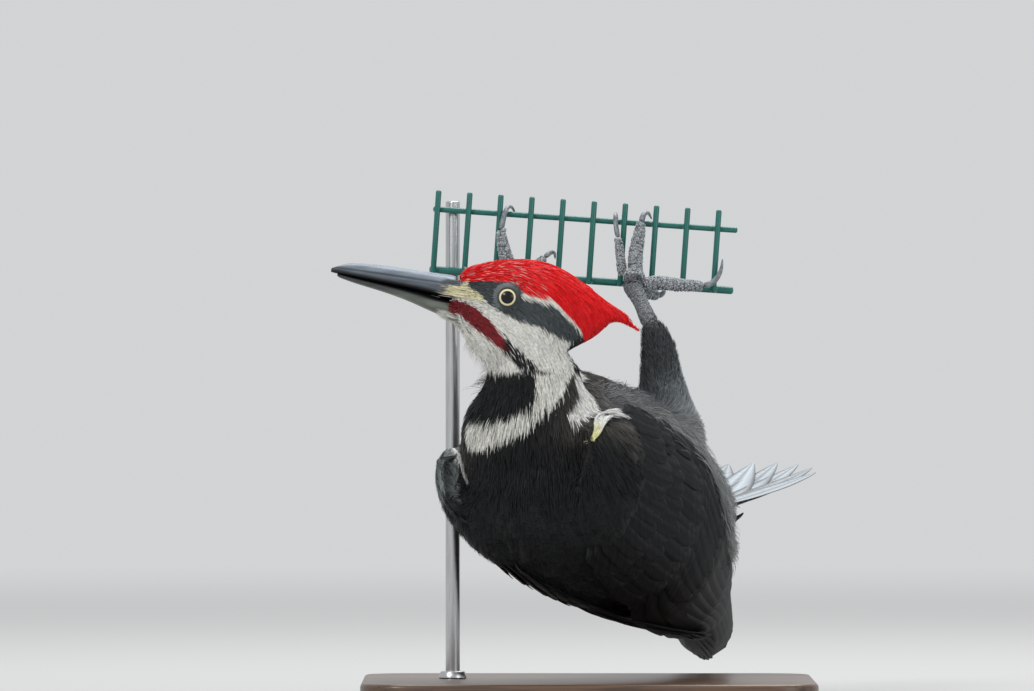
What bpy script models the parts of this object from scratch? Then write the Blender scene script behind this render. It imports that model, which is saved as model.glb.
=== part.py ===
"""Pileated woodpecker, life size, hanging belly up from a strip of welded wire on a display stand.

Metres, +Z up. The origin is the centre of the stand's base on the table. Places are given as
distances to the right of it, above the table and in front of the perch's plane (front is -Y).
The bird's head is turned, crown up, to its left shoulder, and its back faces down.
"""

import math

import bmesh
import bpy
from mathutils import Vector

MM = 0.001
GAP = 0.3 * MM
BED_GAP = 0.6 * MM

# Stand and perch
BASE_WIDTH = 190 * MM
BASE_DEPTH = 176 * MM
BASE_THICKNESS = 10 * MM
BASE_CORNER = 20 * MM
ROD_RADIUS = 3 * MM
ROD_RIGHT = -57 * MM
PERCH_CENTRE_HEIGHT = 177.3 * MM
PERCH_LEFT_END = -67 * MM
PERCH_RIGHT_END = 61 * MM
PERCH_SLOPE = math.radians(4.0)
WIRE_SPACING = 25.4 * MM
UPRIGHT_SPACING = 13.1 * MM
UPRIGHT_COUNT = 10
FIRST_UPRIGHT = 1.7 * MM
UPRIGHT_OVERHANG = 8 * MM
LOW_WIRE_RADIUS = 1.6 * MM
WIRE_RADIUS = 1.2 * MM

# Trunk: axis from between the wing bends to the root of the tail
SHOULDERS = Vector((-26, -62, 105)) * MM
TAIL_ROOT = Vector((44, 52, 77)) * MM
BIRDS_LEFT = Vector((-0.855, 0.488, -0.178))
BACK_SAG = 7 * MM
TAIL_LENGTH = 155 * MM

# Head: axis along the closed bill, crown up
BILL_ROOT = Vector((-55.3, -72, 170.1)) * MM
BILL_RISE = math.radians(12.2)
EYE_RADIUS = 5.2 * MM
EYE_BACK = 20.9 * MM
EYE_HEIGHT = 4.3 * MM
EYE_OUT = 10.6 * MM

COLOURS = {
    "black": ((0.012, 0.013, 0.016), 0.55, 0.0),
    "red": ((0.70, 0.02, 0.02), 0.6, 0.0),
    "white": ((0.80, 0.78, 0.70), 0.7, 0.0),
    "grey": ((0.12, 0.12, 0.13), 0.7, 0.0),
    "bill": ((0.20, 0.22, 0.25), 0.35, 0.0),
    "foot": ((0.30, 0.31, 0.31), 0.6, 0.0),
    "claw": ((0.16, 0.16, 0.17), 0.3, 0.0),
    "eye": ((0.75, 0.68, 0.40), 0.1, 0.0),
    "wire": ((0.01, 0.12, 0.10), 0.35, 0.0),
    "base": ((0.09, 0.08, 0.075), 0.4, 0.0),
    "rod": ((0.55, 0.55, 0.56), 0.3, 1.0),
}


def at(right, height, front):
    """Point from its distance to the right, above the table and in front of the perch, in mm."""
    return Vector((right, -front, height)) * MM


def axes(forward, left):
    """Forward, left and up unit vectors of a body part from its axis and about where its left is."""
    forward = forward.normalized()
    up = forward.cross(left).normalized()
    return forward, up.cross(forward), up


def profile(stations, place):
    """Values at a place along a list of stations (place, value, ...), by a smooth curve."""
    last = len(stations) - 1
    place = min(max(place, stations[0][0]), stations[last][0])
    index = 0
    while index < last - 1 and place > stations[index + 1][0]:
        index += 1
    start, end = stations[index], stations[index + 1]
    before, after = stations[max(index - 1, 0)], stations[min(index + 2, last)]
    span = end[0] - start[0]
    u = (place - start[0]) / span
    values = []
    for k in range(1, len(start)):
        slope_in = (end[k] - before[k]) / (end[0] - before[0]) * span
        slope_out = (after[k] - start[k]) / (after[0] - start[0]) * span
        values.append(
            (2 * u**3 - 3 * u**2 + 1) * start[k]
            + (u**3 - 2 * u**2 + u) * slope_in
            + (3 * u**2 - 2 * u**3) * end[k]
            + (u**3 - u**2) * slope_out
        )
    return values


def spread(first, last, steps):
    """Evenly spaced values from the first to the last."""
    return [first + (last - first) * i / steps for i in range(steps + 1)]


def rounded(first, last, steps):
    """Values from the first to the last, closer together near both ends."""
    return [first + (last - first) * (1 - math.cos(math.pi * i / steps)) / 2 for i in range(steps + 1)]


def oval(centre, side, up, half_side, half_up, half_down, sides, power=2.0):
    """Ring of points on a superellipse whose upper and lower halves may differ."""
    ring = []
    for i in range(sides):
        angle = 2 * math.pi * i / sides
        across = math.copysign(abs(math.cos(angle)) ** (2 / power), math.cos(angle))
        rise = math.copysign(abs(math.sin(angle)) ** (2 / power), math.sin(angle))
        half = half_up if rise > 0 else half_down
        ring.append(centre + side * (half_side * across) + up * (half * rise))
    return ring


def material(colour):
    """Principled material of the named colour, made once."""
    found = bpy.data.materials.get(colour)
    if found:
        return found
    rgb, roughness, metallic = COLOURS[colour]
    made = bpy.data.materials.new(colour)
    made.use_nodes = True
    shader = made.node_tree.nodes["Principled BSDF"]
    shader.inputs["Base Color"].default_value = (*rgb, 1.0)
    shader.inputs["Roughness"].default_value = roughness
    shader.inputs["Metallic"].default_value = metallic
    made.diffuse_color = (*rgb, 1.0)
    return made


def add_object(name, mesh, colour, group):
    """Object of the mesh in a collection, shaded smooth."""
    mesh.shade_smooth()
    mesh.set_sharp_from_angle(angle=math.radians(50))
    made = bpy.data.objects.new(name, mesh)
    made.data.materials.append(material(colour))
    group.objects.link(made)
    return made


def loft(name, rings, colour, group):
    """Closed solid through rings of as many points each."""
    shape = bmesh.new()
    loops = [[shape.verts.new(point) for point in ring] for ring in rings]
    for near, far in zip(loops, loops[1:]):
        for i in range(len(near)):
            j = (i + 1) % len(near)
            shape.faces.new((near[i], near[j], far[j], far[i]))
    shape.faces.new(loops[0])
    shape.faces.new(loops[-1])
    bmesh.ops.recalc_face_normals(shape, faces=shape.faces)
    if shape.calc_volume(signed=True) < 0:
        bmesh.ops.reverse_faces(shape, faces=shape.faces)
    mesh = bpy.data.meshes.new(name)
    shape.to_mesh(mesh)
    shape.free()
    return add_object(name, mesh, colour, group)


def cut(target, cutter):
    """Take the cutter's shape away from the target."""
    cutter.display_type = "WIRE"
    cutter.hide_render = True
    step = target.modifiers.new("cut " + cutter.name, "BOOLEAN")
    step.operation = "DIFFERENCE"
    step.object = cutter


def path_points(points, steps):
    """Smooth curve through points, as evenly stepped points and their directions."""
    stations = [(i, *point) for i, point in enumerate(points)]
    places = spread(0, len(points) - 1, steps)
    curve = [Vector(profile(stations, place)) for place in places]
    headings = []
    for i in range(len(curve)):
        before, after = curve[max(i - 1, 0)], curve[min(i + 1, len(curve) - 1)]
        headings.append((after - before).normalized())
    return list(zip(curve, headings))


def limb(name, points, radii, steps, sides, side_hint, colour, group, flatten=1.0):
    """Tapering round limb along a smooth curve; flatten narrows it across the side direction."""
    stations = [(i, radius) for i, radius in enumerate(radii)]
    rings = []
    for i, (centre, heading) in enumerate(path_points(points, steps)):
        radius = profile(stations, i * (len(radii) - 1) / steps)[0]
        up = heading.cross(side_hint).normalized()
        side = up.cross(heading)
        rings.append(oval(centre, side, up, radius * flatten, radius, radius, sides))
    return loft(name, rings, colour, group)


# Trunk: place along the axis, half width, half depth to the back, half depth to the belly, in mm
TRUNK = [
    (-17, 6, 6, 6),
    (-12, 20, 20, 22),
    (0, 32, 35, 36),
    (20, 38.5, 42, 44),
    (50, 39.5, 43, 48),
    (80, 36.5, 41, 46),
    (108, 31, 34, 36),
    (128, 26, 22, 22),
    (140, 19, 14, 14),
    (147, 12, 9, 9),
]

# Surface that the folded wings lie on: place, shift to the left and drop to the back, half width,
# half depth, lower and upper edge as angles from the side towards the back, thickness of the wing
WING_BED = [
    (-12, 0, 0, 33, 33, -4, 34, 4.0),
    (-4, 0, 0, 37.5, 38, -12, 50, 6.0),
    (20, 0, 0, 40, 43.2, -22, 66, 6.0),
    (50, 0, 0, 40.3, 44.2, -26, 74, 5.2),
    (62, 0, 0, 40.5, 44.4, -22, 76, 5.0),
    (74, 0, 0, 39.8, 44.0, -16, 77, 4.7),
    (84, 0, 1.5, 39.0, 43.6, -2, 78, 4.3),
    (96, 0, 3, 37.4, 42.4, 14, 79, 4.0),
    (130, 5.2, 10, 26.6, 36, 25, 80, 3.0),
    (165, 17.5, 18, 17.5, 22, 16, 80, 2.2),
    (200, 33, 21, 13, 16, 4, 80, 1.8),
    (226, 46, 20, 11.5, 13.5, 6, 78, 1.4),
    (236, 51, 20, 10, 12, 16, 70, 0.8),
]


def trunk_frame():
    """Direction to the tail, the bird's left and its back."""
    forward, left, back = axes(SHOULDERS - TAIL_ROOT, BIRDS_LEFT)
    return -forward, left, back


def trunk_centre(place):
    """Point on the trunk's axis, which sags towards the back between shoulders and tail."""
    tailward, left, back = trunk_frame()
    length = (TAIL_ROOT - SHOULDERS).length
    sag = BACK_SAG * math.sin(math.pi * min(max(place * MM / length, 0), 1))
    return SHOULDERS + tailward * (place * MM) + back * sag


def trunk(name, colour, group, clearance=0.0, steps=18, sides=28):
    tailward, left, back = trunk_frame()
    rings = []
    for place in rounded(TRUNK[0][0], TRUNK[-1][0], steps):
        width, depth_back, depth_belly = [v * MM + clearance for v in profile(TRUNK, place)]
        centre = trunk_centre(place)
        rings.append(oval(centre, left, back, width, depth_back, depth_belly, sides, 2.15))
    rings[0] = [point - tailward * clearance for point in rings[0]]
    rings[-1] = [point + tailward * clearance for point in rings[-1]]
    return loft(name, rings, colour, group)


def wing(name, side, colour, group, clearance=0.0, steps=21, across=8):
    """Folded wing, a shell on the bird's side (1 left, -1 right) from its bend to its tip."""
    tailward, left, back = trunk_frame()
    rings = []
    for place in spread(WING_BED[0][0], WING_BED[-1][0], steps):
        shift, drop, width, depth, low, high, thick = profile(WING_BED, place)
        centre = trunk_centre(place) + left * (shift * MM) + back * (drop * MM)
        inner, outer = [], []
        for k in range(across + 1):
            v = k / across
            angle = math.radians(low + (high - low) * v)
            bulge = 0.7 + (thick - 0.7) * math.sin(math.pi * v) ** 0.6
            inner_rise = (BED_GAP - clearance) / MM
            outer_rise = (BED_GAP + clearance) / MM + bulge
            for row, rise in ((inner, inner_rise), (outer, outer_rise)):
                out = side * (width + rise) * math.cos(angle)
                rise_back = (depth + rise) * math.sin(angle)
                row.append(centre + left * (out * MM) + back * (rise_back * MM))
        rings.append(inner + outer[::-1])
    return loft(name, rings, colour, group)


# Head: distance behind the bill's root, crown, throat and half width, from the bill's axis, in mm
HEAD = [
    (-3.5, 6.5, -6.5, 5.0),
    (-1.5, 9.6, -9.4, 7.2),
    (3, 13.9, -13.0, 9.0),
    (9, 17.0, -18.5, 11.6),
    (15, 19.2, -23.5, 13.6),
    (22, 21.1, -26.0, 15.0),
    (31, 22.2, -26.5, 15.6),
    (40, 21.1, -23.0, 14.6),
    (47, 18.6, -16.5, 11.6),
]
CREST = [
    (47, 18.6, -16.5, 11.6),
    (53, 16.2, -9.5, 8.8),
    (58, 13.5, -6.0, 6.6),
    (61.5, 11.7, -2.0, 5.2),
    (65.5, 10.2, 3.6, 3.8),
    (70, 8.9, 4.0, 2.8),
    (74, 6.4, 1.6, 1.8),
    (78.2, 3.2, 1.6, 0.7),
]


def head_frame():
    """Direction of the bill, the bird's left and its crown."""
    forward = Vector((-math.cos(BILL_RISE), 0, math.sin(BILL_RISE)))
    return axes(forward, Vector((0, -1, 0)))


def head_rings(stations, places, sides, clearance=0.0):
    forward, left, crown = head_frame()
    rings = []
    for place in places:
        top, bottom, width = profile(stations, place)
        half = (top - bottom) / 2 * MM + clearance
        centre = BILL_ROOT - forward * (place * MM) + crown * ((top + bottom) / 2 * MM)
        rings.append(oval(centre, left, crown, width * MM + clearance, half, half, sides, 2.1))
    return rings


# Bill: distance in front of its root, culmen, cutting edge and half width above, and edge below
UPPER_BILL = [
    (1.2, 8.4, -1.9, 6.6),
    (10, 7.7, -1.2, 5.6),
    (25, 6.7, -0.8, 4.4),
    (38, 5.5, -0.8, 3.3),
    (46, 4.3, -0.8, 2.5),
    (50.5, 2.7, -0.7, 2.0),
    (52.9, 0.9, -0.6, 1.5),
]
LOWER_BILL = [
    (1.2, -2.3, -9.2, 6.2),
    (10, -1.6, -7.6, 5.2),
    (20, -1.2, -5.4, 4.1),
    (31, -1.2, -4.0, 3.1),
    (43, -1.2, -3.0, 2.3),
    (50, -1.1, -1.9, 1.5),
]


def bill(name, stations, colour, group, clearance=0.0, steps=9, sides=14):
    forward, left, crown = head_frame()
    rings = []
    for place in spread(stations[0][0], stations[-1][0], steps):
        top, bottom, width = profile(stations, place)
        half = (top - bottom) / 2 * MM + clearance
        back = clearance if place == stations[0][0] else 0.0
        centre = BILL_ROOT + forward * (place * MM - back) + crown * ((top + bottom) / 2 * MM)
        rings.append(oval(centre, left, crown, width * MM + clearance, half, half, sides, 2.4))
    return loft(name, rings, colour, group)


def eye_centre(side):
    forward, left, crown = head_frame()
    return BILL_ROOT - forward * EYE_BACK + crown * EYE_HEIGHT + left * (side * EYE_OUT)


def ball(name, centre, radius, colour, group):
    shape = bmesh.new()
    bmesh.ops.create_uvsphere(shape, u_segments=14, v_segments=8, radius=radius)
    bmesh.ops.translate(shape, verts=shape.verts, vec=centre)
    mesh = bpy.data.meshes.new(name)
    shape.to_mesh(mesh)
    shape.free()
    return add_object(name, mesh, colour, group)


# Neck: right, height and front of its middle, half width across the bill's line and half thickness
NECK = [
    (-22, 156, 71, 15, 11),
    (-23, 141, 71, 19, 15),
    (-23, 131, 69, 22, 19),
    (-23, 121, 65, 30, 24),
    (-20, 111, 57, 34, 29),
    (-12, 102, 45, 32, 30),
]


def neck(group, cutters):
    rings = []
    stations = [(i, *row) for i, row in enumerate(NECK)]
    centres = [at(*row[:3]) for row in NECK]
    steps = 11
    for i, (centre, heading) in enumerate(path_points(centres, steps)):
        width, thickness = profile(stations, i * (len(NECK) - 1) / steps)[3:]
        up = heading.cross(Vector((-1, 0, 0))).normalized()
        rings.append(oval(centre, up.cross(heading), up, width * MM, thickness * MM, thickness * MM, 24))
    made = loft("neck", rings, "black", group)
    head_shape = head_rings(HEAD, spread(HEAD[0][0], HEAD[-1][0], 14), 22, GAP)
    forward = head_frame()[0]
    head_shape.append([point - forward * (8 * MM) for point in head_shape[-1]])
    cut(made, loft("neck_head_cutter", head_shape, "red", cutters))
    cut(made, trunk("neck_trunk_cutter", "black", cutters, GAP))
    return made


# Tail feathers on one side, from the middle out: angle from the tail's axis, and length
TAIL_FEATHERS = [(1.7, 155), (5.2, 152), (9.0, 143), (13.0, 127), (17.0, 106)]
TAIL_HEADING = Vector((0.155, 0.975, 0.097))
TAIL_BACK = Vector((0.05, 0.12, -0.99))
TAIL_ROOT_HALF_WIDTH = 10 * MM


def tail(group):
    """Fan of stiff pointed feathers as one thin plate, arched across and curled to the belly."""
    heading = TAIL_HEADING.normalized()
    left = TAIL_BACK.cross(-heading).normalized()
    back = (-heading).cross(left)
    blades = [(-angle, length) for angle, length in reversed(TAIL_FEATHERS)] + TAIL_FEATHERS
    columns = []
    for angle, length in blades:
        for offset, share in ((-1.6, 0.93), (0.0, 1.0), (1.6, 0.93)):
            columns.append((angle + offset, length * share))
    rings = []
    for u in spread(0, 1, 7):
        lower, upper = [], []
        for angle, length in columns:
            turn = math.radians(angle)
            far = length * MM * u
            root = TAIL_ROOT_HALF_WIDTH * angle / 18.6
            arch = 4 * MM * (angle / 18.6) ** 2
            curl = 7 * MM * (far / TAIL_LENGTH) ** 2
            point = TAIL_ROOT + heading * (math.cos(turn) * far) + left * (root + math.sin(turn) * far)
            point -= back * (arch + curl)
            half = (1.6 - 1.1 * u) * MM
            lower.append(point + back * half)
            upper.append(point - back * half)
        rings.append(lower + upper[::-1])
    return loft("tail", rings, "black", group)


# Legs, as right, height and front of the points that each runs through, with its radii, in mm
TARSI = {
    "right": ([(18.6, 174.9, 9), (21.5, 168.5, 22), (25.0, 160.5, 37)], [4.0, 2.9, 3.4]),
    "left": ([(-31, 175.4, 9), (-28.5, 169, 22), (-25, 161, 37)], [4.0, 2.9, 3.4]),
}
THIGHS = {
    "right": (
        [(25, 161, 38), (28.9, 150, 30), (30.0, 139, 20), (31.5, 127, 10), (32.5, 114, 2), (32, 102, -4)],
        [3.6, 7.0, 8.4, 11.0, 16.5, 17.0],
    ),
    "left": (
        [(-25, 161, 38), (-20, 150, 30), (-14, 139, 20), (-9, 127, 10), (-2, 114, 2), (3, 102, -4)],
        [3.6, 7.0, 8.6, 12.0, 17.0, 17.0],
    ),
}
TOES = {
    "right": {
        1: ([(22.6, 172.4, 6.0), (26, 171.3, 4.6), (29, 171.2, 2.6)], [2.2, 2.1, 1.7]),
        2: ([(14.2, 179.4, 8.6), (13.4, 187, 7.8), (12.4, 194.5, 6.2)], [1.8, 1.8, 1.5]),
        3: (
            [(19.9, 179.8, 8.4), (19.5, 187, 8.2), (21.0, 195, 7.4), (22.0, 201.2, 5.6)],
            [2.9, 3.0, 2.5, 1.8],
        ),
        4: ([(23.2, 175.6, 9.6), (30, 176.3, 9.2), (38, 175.4, 8.8), (47.5, 175, 8.2)], [3.0, 2.8, 2.6, 2.0]),
    },
    "left": {
        1: ([(-33.4, 171.4, 6.4), (-35.5, 171.0, 4.6), (-37.5, 171.8, 2.4)], [2.2, 2.1, 1.7]),
        2: ([(-27.4, 178.2, 9.0), (-23.2, 182.5, 8.8), (-18.8, 186.6, 7.6)], [2.1, 1.9, 1.5]),
        3: (
            [(-31.8, 180.0, 8.6), (-34.6, 187, 8.0), (-36.0, 193, 7.6), (-36.7, 198, 6.7)],
            [2.8, 2.8, 2.3, 1.7],
        ),
        4: ([(-36.4, 176.3, 9.4), (-41, 178.2, 9.2), (-46.5, 179.8, 8.4)], [2.7, 2.5, 1.9]),
    },
}
CLAWS = {
    "right": {
        1: [(29.5, 171.0, 2.2), (31.3, 171.8, -0.5), (31.9, 174.1, -3.4), (31.6, 177.0, -4.6)],
        2: [
            (12.3, 195.2, 6.1), (11.4, 201.0, 4.9), (11.2, 205.0, 2.2), (11.8, 205.2, -1.6),
            (12.4, 202.2, -3.2),
        ],
        3: [(22.2, 201.9, 5.3), (23.2, 205.1, 3.3), (25.2, 205.7, 0.0), (26.6, 203.0, -2.9)],
        4: [(48.3, 175, 8.1), (52.6, 176.7, 7.2), (55.6, 181.4, 6.2), (56.2, 186.4, 4.4)],
    },
    "left": {
        1: [(-37.9, 172.1, 2.0), (-38.8, 174.4, -0.8), (-38.6, 177.2, -3.2), (-37.8, 180, -4.0)],
        2: [(-18.2, 187.2, 7.3), (-15.6, 189.2, 5.0), (-14.2, 188.6, 1.6), (-14.0, 186.4, -0.6)],
        3: [
            (-36.6, 198.7, 6.6), (-35.6, 204, 5.9), (-34.0, 208.2, 2.4), (-32.0, 208.2, -1.4),
            (-30.6, 205.0, -3.4),
        ],
        4: [(-47.1, 179.9, 8.2), (-50.0, 181.0, 6.9), (-52.4, 183.2, 5.0)],
    },
}
CLAW_TIP = 0.3 * MM
CLAW_THICKNESS = 0.88
CLAW_TAPER = 1.7


def leg(label, group, cutters):
    """Feathered thigh, scaly tarsus, four toes and their claws."""
    points, radii = TARSI[label]
    sideways = Vector((1, 0, 0))
    points = [at(*point) for point in points]
    limb("tarsus_" + label, points, [r * MM for r in radii], 7, 12, sideways, "foot", group)
    grown = [r * MM + GAP for r in radii]
    longer = [*points[:-1], points[-1] + (points[-1] - points[-2]).normalized() * GAP]
    tarsus_cutter = limb("thigh_tarsus_cutter_" + label, longer, grown, 7, 12, sideways, "foot", cutters)
    thigh_points, thigh_radii = THIGHS[label]
    thigh = limb("thigh_" + label, [at(*point) for point in thigh_points], [r * MM for r in thigh_radii],
                 9, 16, sideways, "grey", group)
    cut(thigh, tarsus_cutter)
    cut(thigh, trunk(f"thigh_trunk_cutter_{label}", "black", cutters, GAP))
    side = 1 if label == "left" else -1
    cut(thigh, wing(f"thigh_wing_cutter_{label}", side, "black", cutters, GAP))
    for number, (toe_points, toe_radii) in TOES[label].items():
        limb(f"toe_{label}_{number}", [at(*point) for point in toe_points], [r * MM for r in toe_radii],
             5, 8, Vector((0.3, 0, 1)) if number == 4 else sideways, "foot", group)
        claw_points = [at(*point) for point in CLAWS[label][number]]
        root = toe_radii[-1] * CLAW_THICKNESS * MM
        last = len(claw_points) - 1
        radii = [root + (CLAW_TIP - root) * (i / last) ** CLAW_TAPER for i in range(last + 1)]
        limb(f"claw_{label}_{number}", claw_points, radii, 6, 6, Vector((0.9, 0.1, 0.4)), "claw", group)


def rounded_plate(name, width, depth, thickness, corner, colour, group):
    """Flat plate with rounded corners and softened edges, resting on the table."""
    outline = bpy.data.curves.new(name, "CURVE")
    outline.dimensions = "2D"
    outline.fill_mode = "BOTH"
    outline.extrude = thickness / 2
    spline = outline.splines.new("POLY")
    points = []
    for k, (sx, sy) in enumerate(((1, 1), (-1, 1), (-1, -1), (1, -1))):
        for step in range(7):
            angle = math.radians(90 * k + 15 * step)
            x = sx * (width / 2 - corner) + corner * math.cos(angle)
            y = sy * (depth / 2 - corner) + corner * math.sin(angle)
            points.append((x, y))
    spline.points.add(len(points) - 1)
    for point, (x, y) in zip(spline.points, points):
        point.co = (x, y, 0, 1)
    spline.use_cyclic_u = True
    holder = bpy.data.objects.new(name, outline)
    group.objects.link(holder)
    shape = bmesh.new()
    filled = holder.evaluated_get(bpy.context.evaluated_depsgraph_get())
    shape.from_mesh(bpy.data.meshes.new_from_object(filled))
    bpy.data.objects.remove(holder)
    bmesh.ops.remove_doubles(shape, verts=shape.verts, dist=1e-6)
    bmesh.ops.translate(shape, verts=shape.verts, vec=(0, 0, thickness / 2))
    mesh = bpy.data.meshes.new(name)
    shape.to_mesh(mesh)
    shape.free()
    return add_object(name, mesh, colour, group)


def wire(name, start, end, radius, colour, group, resolution=2):
    """Straight round wire or rod with filled ends."""
    curve = bpy.data.curves.new(name, "CURVE")
    curve.dimensions = "3D"
    curve.bevel_depth = radius
    curve.bevel_resolution = resolution
    curve.use_fill_caps = True
    spline = curve.splines.new("POLY")
    spline.points.add(1)
    spline.points[0].co = (*start, 1)
    spline.points[1].co = (*end, 1)
    made = bpy.data.objects.new(name, curve)
    curve.materials.append(material(colour))
    group.objects.link(made)
    return made


def perch(group):
    """Strip of welded wire: a thick low wire, a thin one above it and the uprights before them."""
    along = Vector((math.cos(PERCH_SLOPE), 0, -math.sin(PERCH_SLOPE)))
    up = Vector((math.sin(PERCH_SLOPE), 0, math.cos(PERCH_SLOPE)))
    middle = Vector((0, 0, PERCH_CENTRE_HEIGHT))
    high = middle + up * WIRE_SPACING + Vector((0, -0.4 * MM, 0))
    wire("perch_wire_low", middle + along * PERCH_LEFT_END, middle + along * PERCH_RIGHT_END,
         LOW_WIRE_RADIUS, "wire", group)
    wire("perch_wire_high", high + along * PERCH_LEFT_END, high + along * PERCH_RIGHT_END,
         WIRE_RADIUS, "wire", group)
    front = Vector((0, -(LOW_WIRE_RADIUS + WIRE_RADIUS + GAP), 0))
    for number in range(UPRIGHT_COUNT):
        across = PERCH_LEFT_END + FIRST_UPRIGHT + UPRIGHT_SPACING * number
        foot = middle + front + along * across - up * LOW_WIRE_RADIUS
        top = middle + front + along * across + up * (WIRE_SPACING + UPRIGHT_OVERHANG)
        wire(f"perch_upright_{number + 1}", foot, top, WIRE_RADIUS, "wire", group)
    rod_front = -(LOW_WIRE_RADIUS + ROD_RADIUS + GAP)
    wire("stand_rod", Vector((ROD_RIGHT, -rod_front, BASE_THICKNESS + GAP)),
         Vector((ROD_RIGHT, -rod_front, PERCH_CENTRE_HEIGHT + WIRE_SPACING + UPRIGHT_OVERHANG)),
         ROD_RADIUS, "rod", group, 4)


def build():
    for old in list(bpy.data.objects):
        bpy.data.objects.remove(old)
    bird = bpy.data.collections.new("pileated_woodpecker")
    cutters = bpy.data.collections.new("cutters")
    bpy.context.scene.collection.children.link(bird)
    bpy.context.scene.collection.children.link(cutters)

    trunk("trunk", "black", bird)
    wing("wing_left", 1, "black", bird)
    wing("wing_right", -1, "black", bird)
    cut(tail(bird), trunk("tail_trunk_cutter", "black", cutters, GAP))
    neck(bird, cutters)
    head = loft("head", head_rings(HEAD, spread(HEAD[0][0], HEAD[-1][0], 14), 22), "white", bird)
    loft("crest", head_rings(CREST, spread(CREST[0][0] + 0.3, CREST[-1][0], 10), 18), "red", bird)
    for label, side in (("left", 1), ("right", -1)):
        ball("eye_" + label, eye_centre(side), EYE_RADIUS, "eye", bird)
        cut(head, ball(f"eye_{label}_cutter", eye_centre(side), EYE_RADIUS + GAP, "eye", cutters))
    for label, stations in (("upper", UPPER_BILL), ("lower", LOWER_BILL)):
        bill("bill_" + label, stations, "bill", bird)
        cut(head, bill(f"bill_{label}_cutter", stations, "bill", cutters, GAP))
    leg("right", bird, cutters)
    leg("left", bird, cutters)
    perch(bird)
    rounded_plate("stand_base", BASE_WIDTH, BASE_DEPTH, BASE_THICKNESS, BASE_CORNER, "base", bird)


build()
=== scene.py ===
"""Pileated woodpecker hanging from a strip of feeder wire: plumage, bare parts, perch and stand."""

import math
from itertools import product

import bmesh
import bpy
import numpy as np
from bpy.props import FloatProperty, FloatVectorProperty, IntProperty, PointerProperty
from mathutils import Matrix, Vector, noise
from mathutils.kdtree import KDTree

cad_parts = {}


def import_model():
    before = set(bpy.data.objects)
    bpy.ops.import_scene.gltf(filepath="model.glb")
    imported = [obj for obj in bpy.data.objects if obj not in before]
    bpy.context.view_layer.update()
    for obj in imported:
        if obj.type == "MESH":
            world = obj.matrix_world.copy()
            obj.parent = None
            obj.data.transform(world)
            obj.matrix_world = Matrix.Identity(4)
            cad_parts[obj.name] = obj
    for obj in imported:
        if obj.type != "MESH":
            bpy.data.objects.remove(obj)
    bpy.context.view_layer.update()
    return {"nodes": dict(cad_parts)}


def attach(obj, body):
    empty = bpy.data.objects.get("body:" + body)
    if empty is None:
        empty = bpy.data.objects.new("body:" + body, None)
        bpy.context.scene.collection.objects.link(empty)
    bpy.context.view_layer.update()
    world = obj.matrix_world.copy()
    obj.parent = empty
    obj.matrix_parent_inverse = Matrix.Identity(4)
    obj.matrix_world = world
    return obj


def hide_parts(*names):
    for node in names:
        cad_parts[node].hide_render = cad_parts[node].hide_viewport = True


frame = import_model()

bl_info = {
    "name": "Hanging Woodpecker",
    "version": (1, 0, 0),
    "blender": (4, 5, 0),
    "location": "View3D > Sidebar > Woodpecker",
    "description": "Builds the plumage, bare parts, perch and stand of a life-size woodpecker",
    "category": "Object",
}

MM = 0.001

# Trunk: axis from between the wing bends to the root of the tail
SHOULDERS = np.array((-26, -62, 105)) * MM
TAIL_ROOT = np.array((44, 52, 77)) * MM
BIRDS_LEFT = np.array((-0.855, 0.488, -0.178))
BACK_SAG = 7 * MM

# Head: axis along the closed bill, crown up
BILL_ROOT = np.array((-55.3, -72, 170.1)) * MM
BILL_RISE = math.radians(12.2)
EYE_BACK = 20.9
EYE_HEIGHT = 4.3
EYE_OUT = 10.6

# Folded wing: place, shift to the left, drop to the back, half width and depth, angles of both edges
WING_BED = np.array([
    (-12, 0, 0, 33, 33, -4, 34),
    (-4, 0, 0, 37.5, 38, -12, 50),
    (20, 0, 0, 40, 43.2, -22, 66),
    (50, 0, 0, 40.3, 44.2, -26, 74),
    (62, 0, 0, 40.5, 44.4, -22, 76),
    (74, 0, 0, 39.8, 44.0, -16, 77),
    (84, 0, 1.5, 39.0, 43.6, -2, 78),
    (96, 0, 3, 37.4, 42.4, 14, 79),
    (130, 5.2, 10, 26.6, 36, 25, 80),
    (165, 17.5, 18, 17.5, 22, 16, 80),
    (200, 33, 21, 13, 16, 4, 80),
    (226, 46, 20, 11.5, 13.5, 6, 78),
    (236, 51, 20, 10, 12, 16, 70),
], float)
BED_GAP = 0.6
THIGH_COAT = 0.0016
WING_FLESH_END = 118.0

BODY_NODES = ["head", "crest", "neck", "trunk", "thigh_left", "thigh_right"]
WING_NODES = ["wing_left", "wing_right"]

# Middle line of head, neck and trunk, and of each thigh from the foot down: right, height, front
SPINE = np.array([
    (-55, 170, 72), (-41, 165, 72), (-27, 161, 72), (-20, 150, 71), (-22, 138, 70), (-23, 124, 66),
    (-24, 112, 61), (-24, 104, 54), (-14, 99, 41), (2, 93, 15), (20, 87, -13), (36, 81, -39), (48, 76, -59),
], float)
THIGHS = {
    "right": [(25, 161, 38), (28.9, 150, 30), (30.0, 139, 20), (31.5, 127, 10), (32.5, 114, 2)],
    "left": [(-25, 161, 38), (-20, 150, 30), (-14, 139, 20), (-9, 127, 10), (-2, 114, 2)],
}

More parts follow.
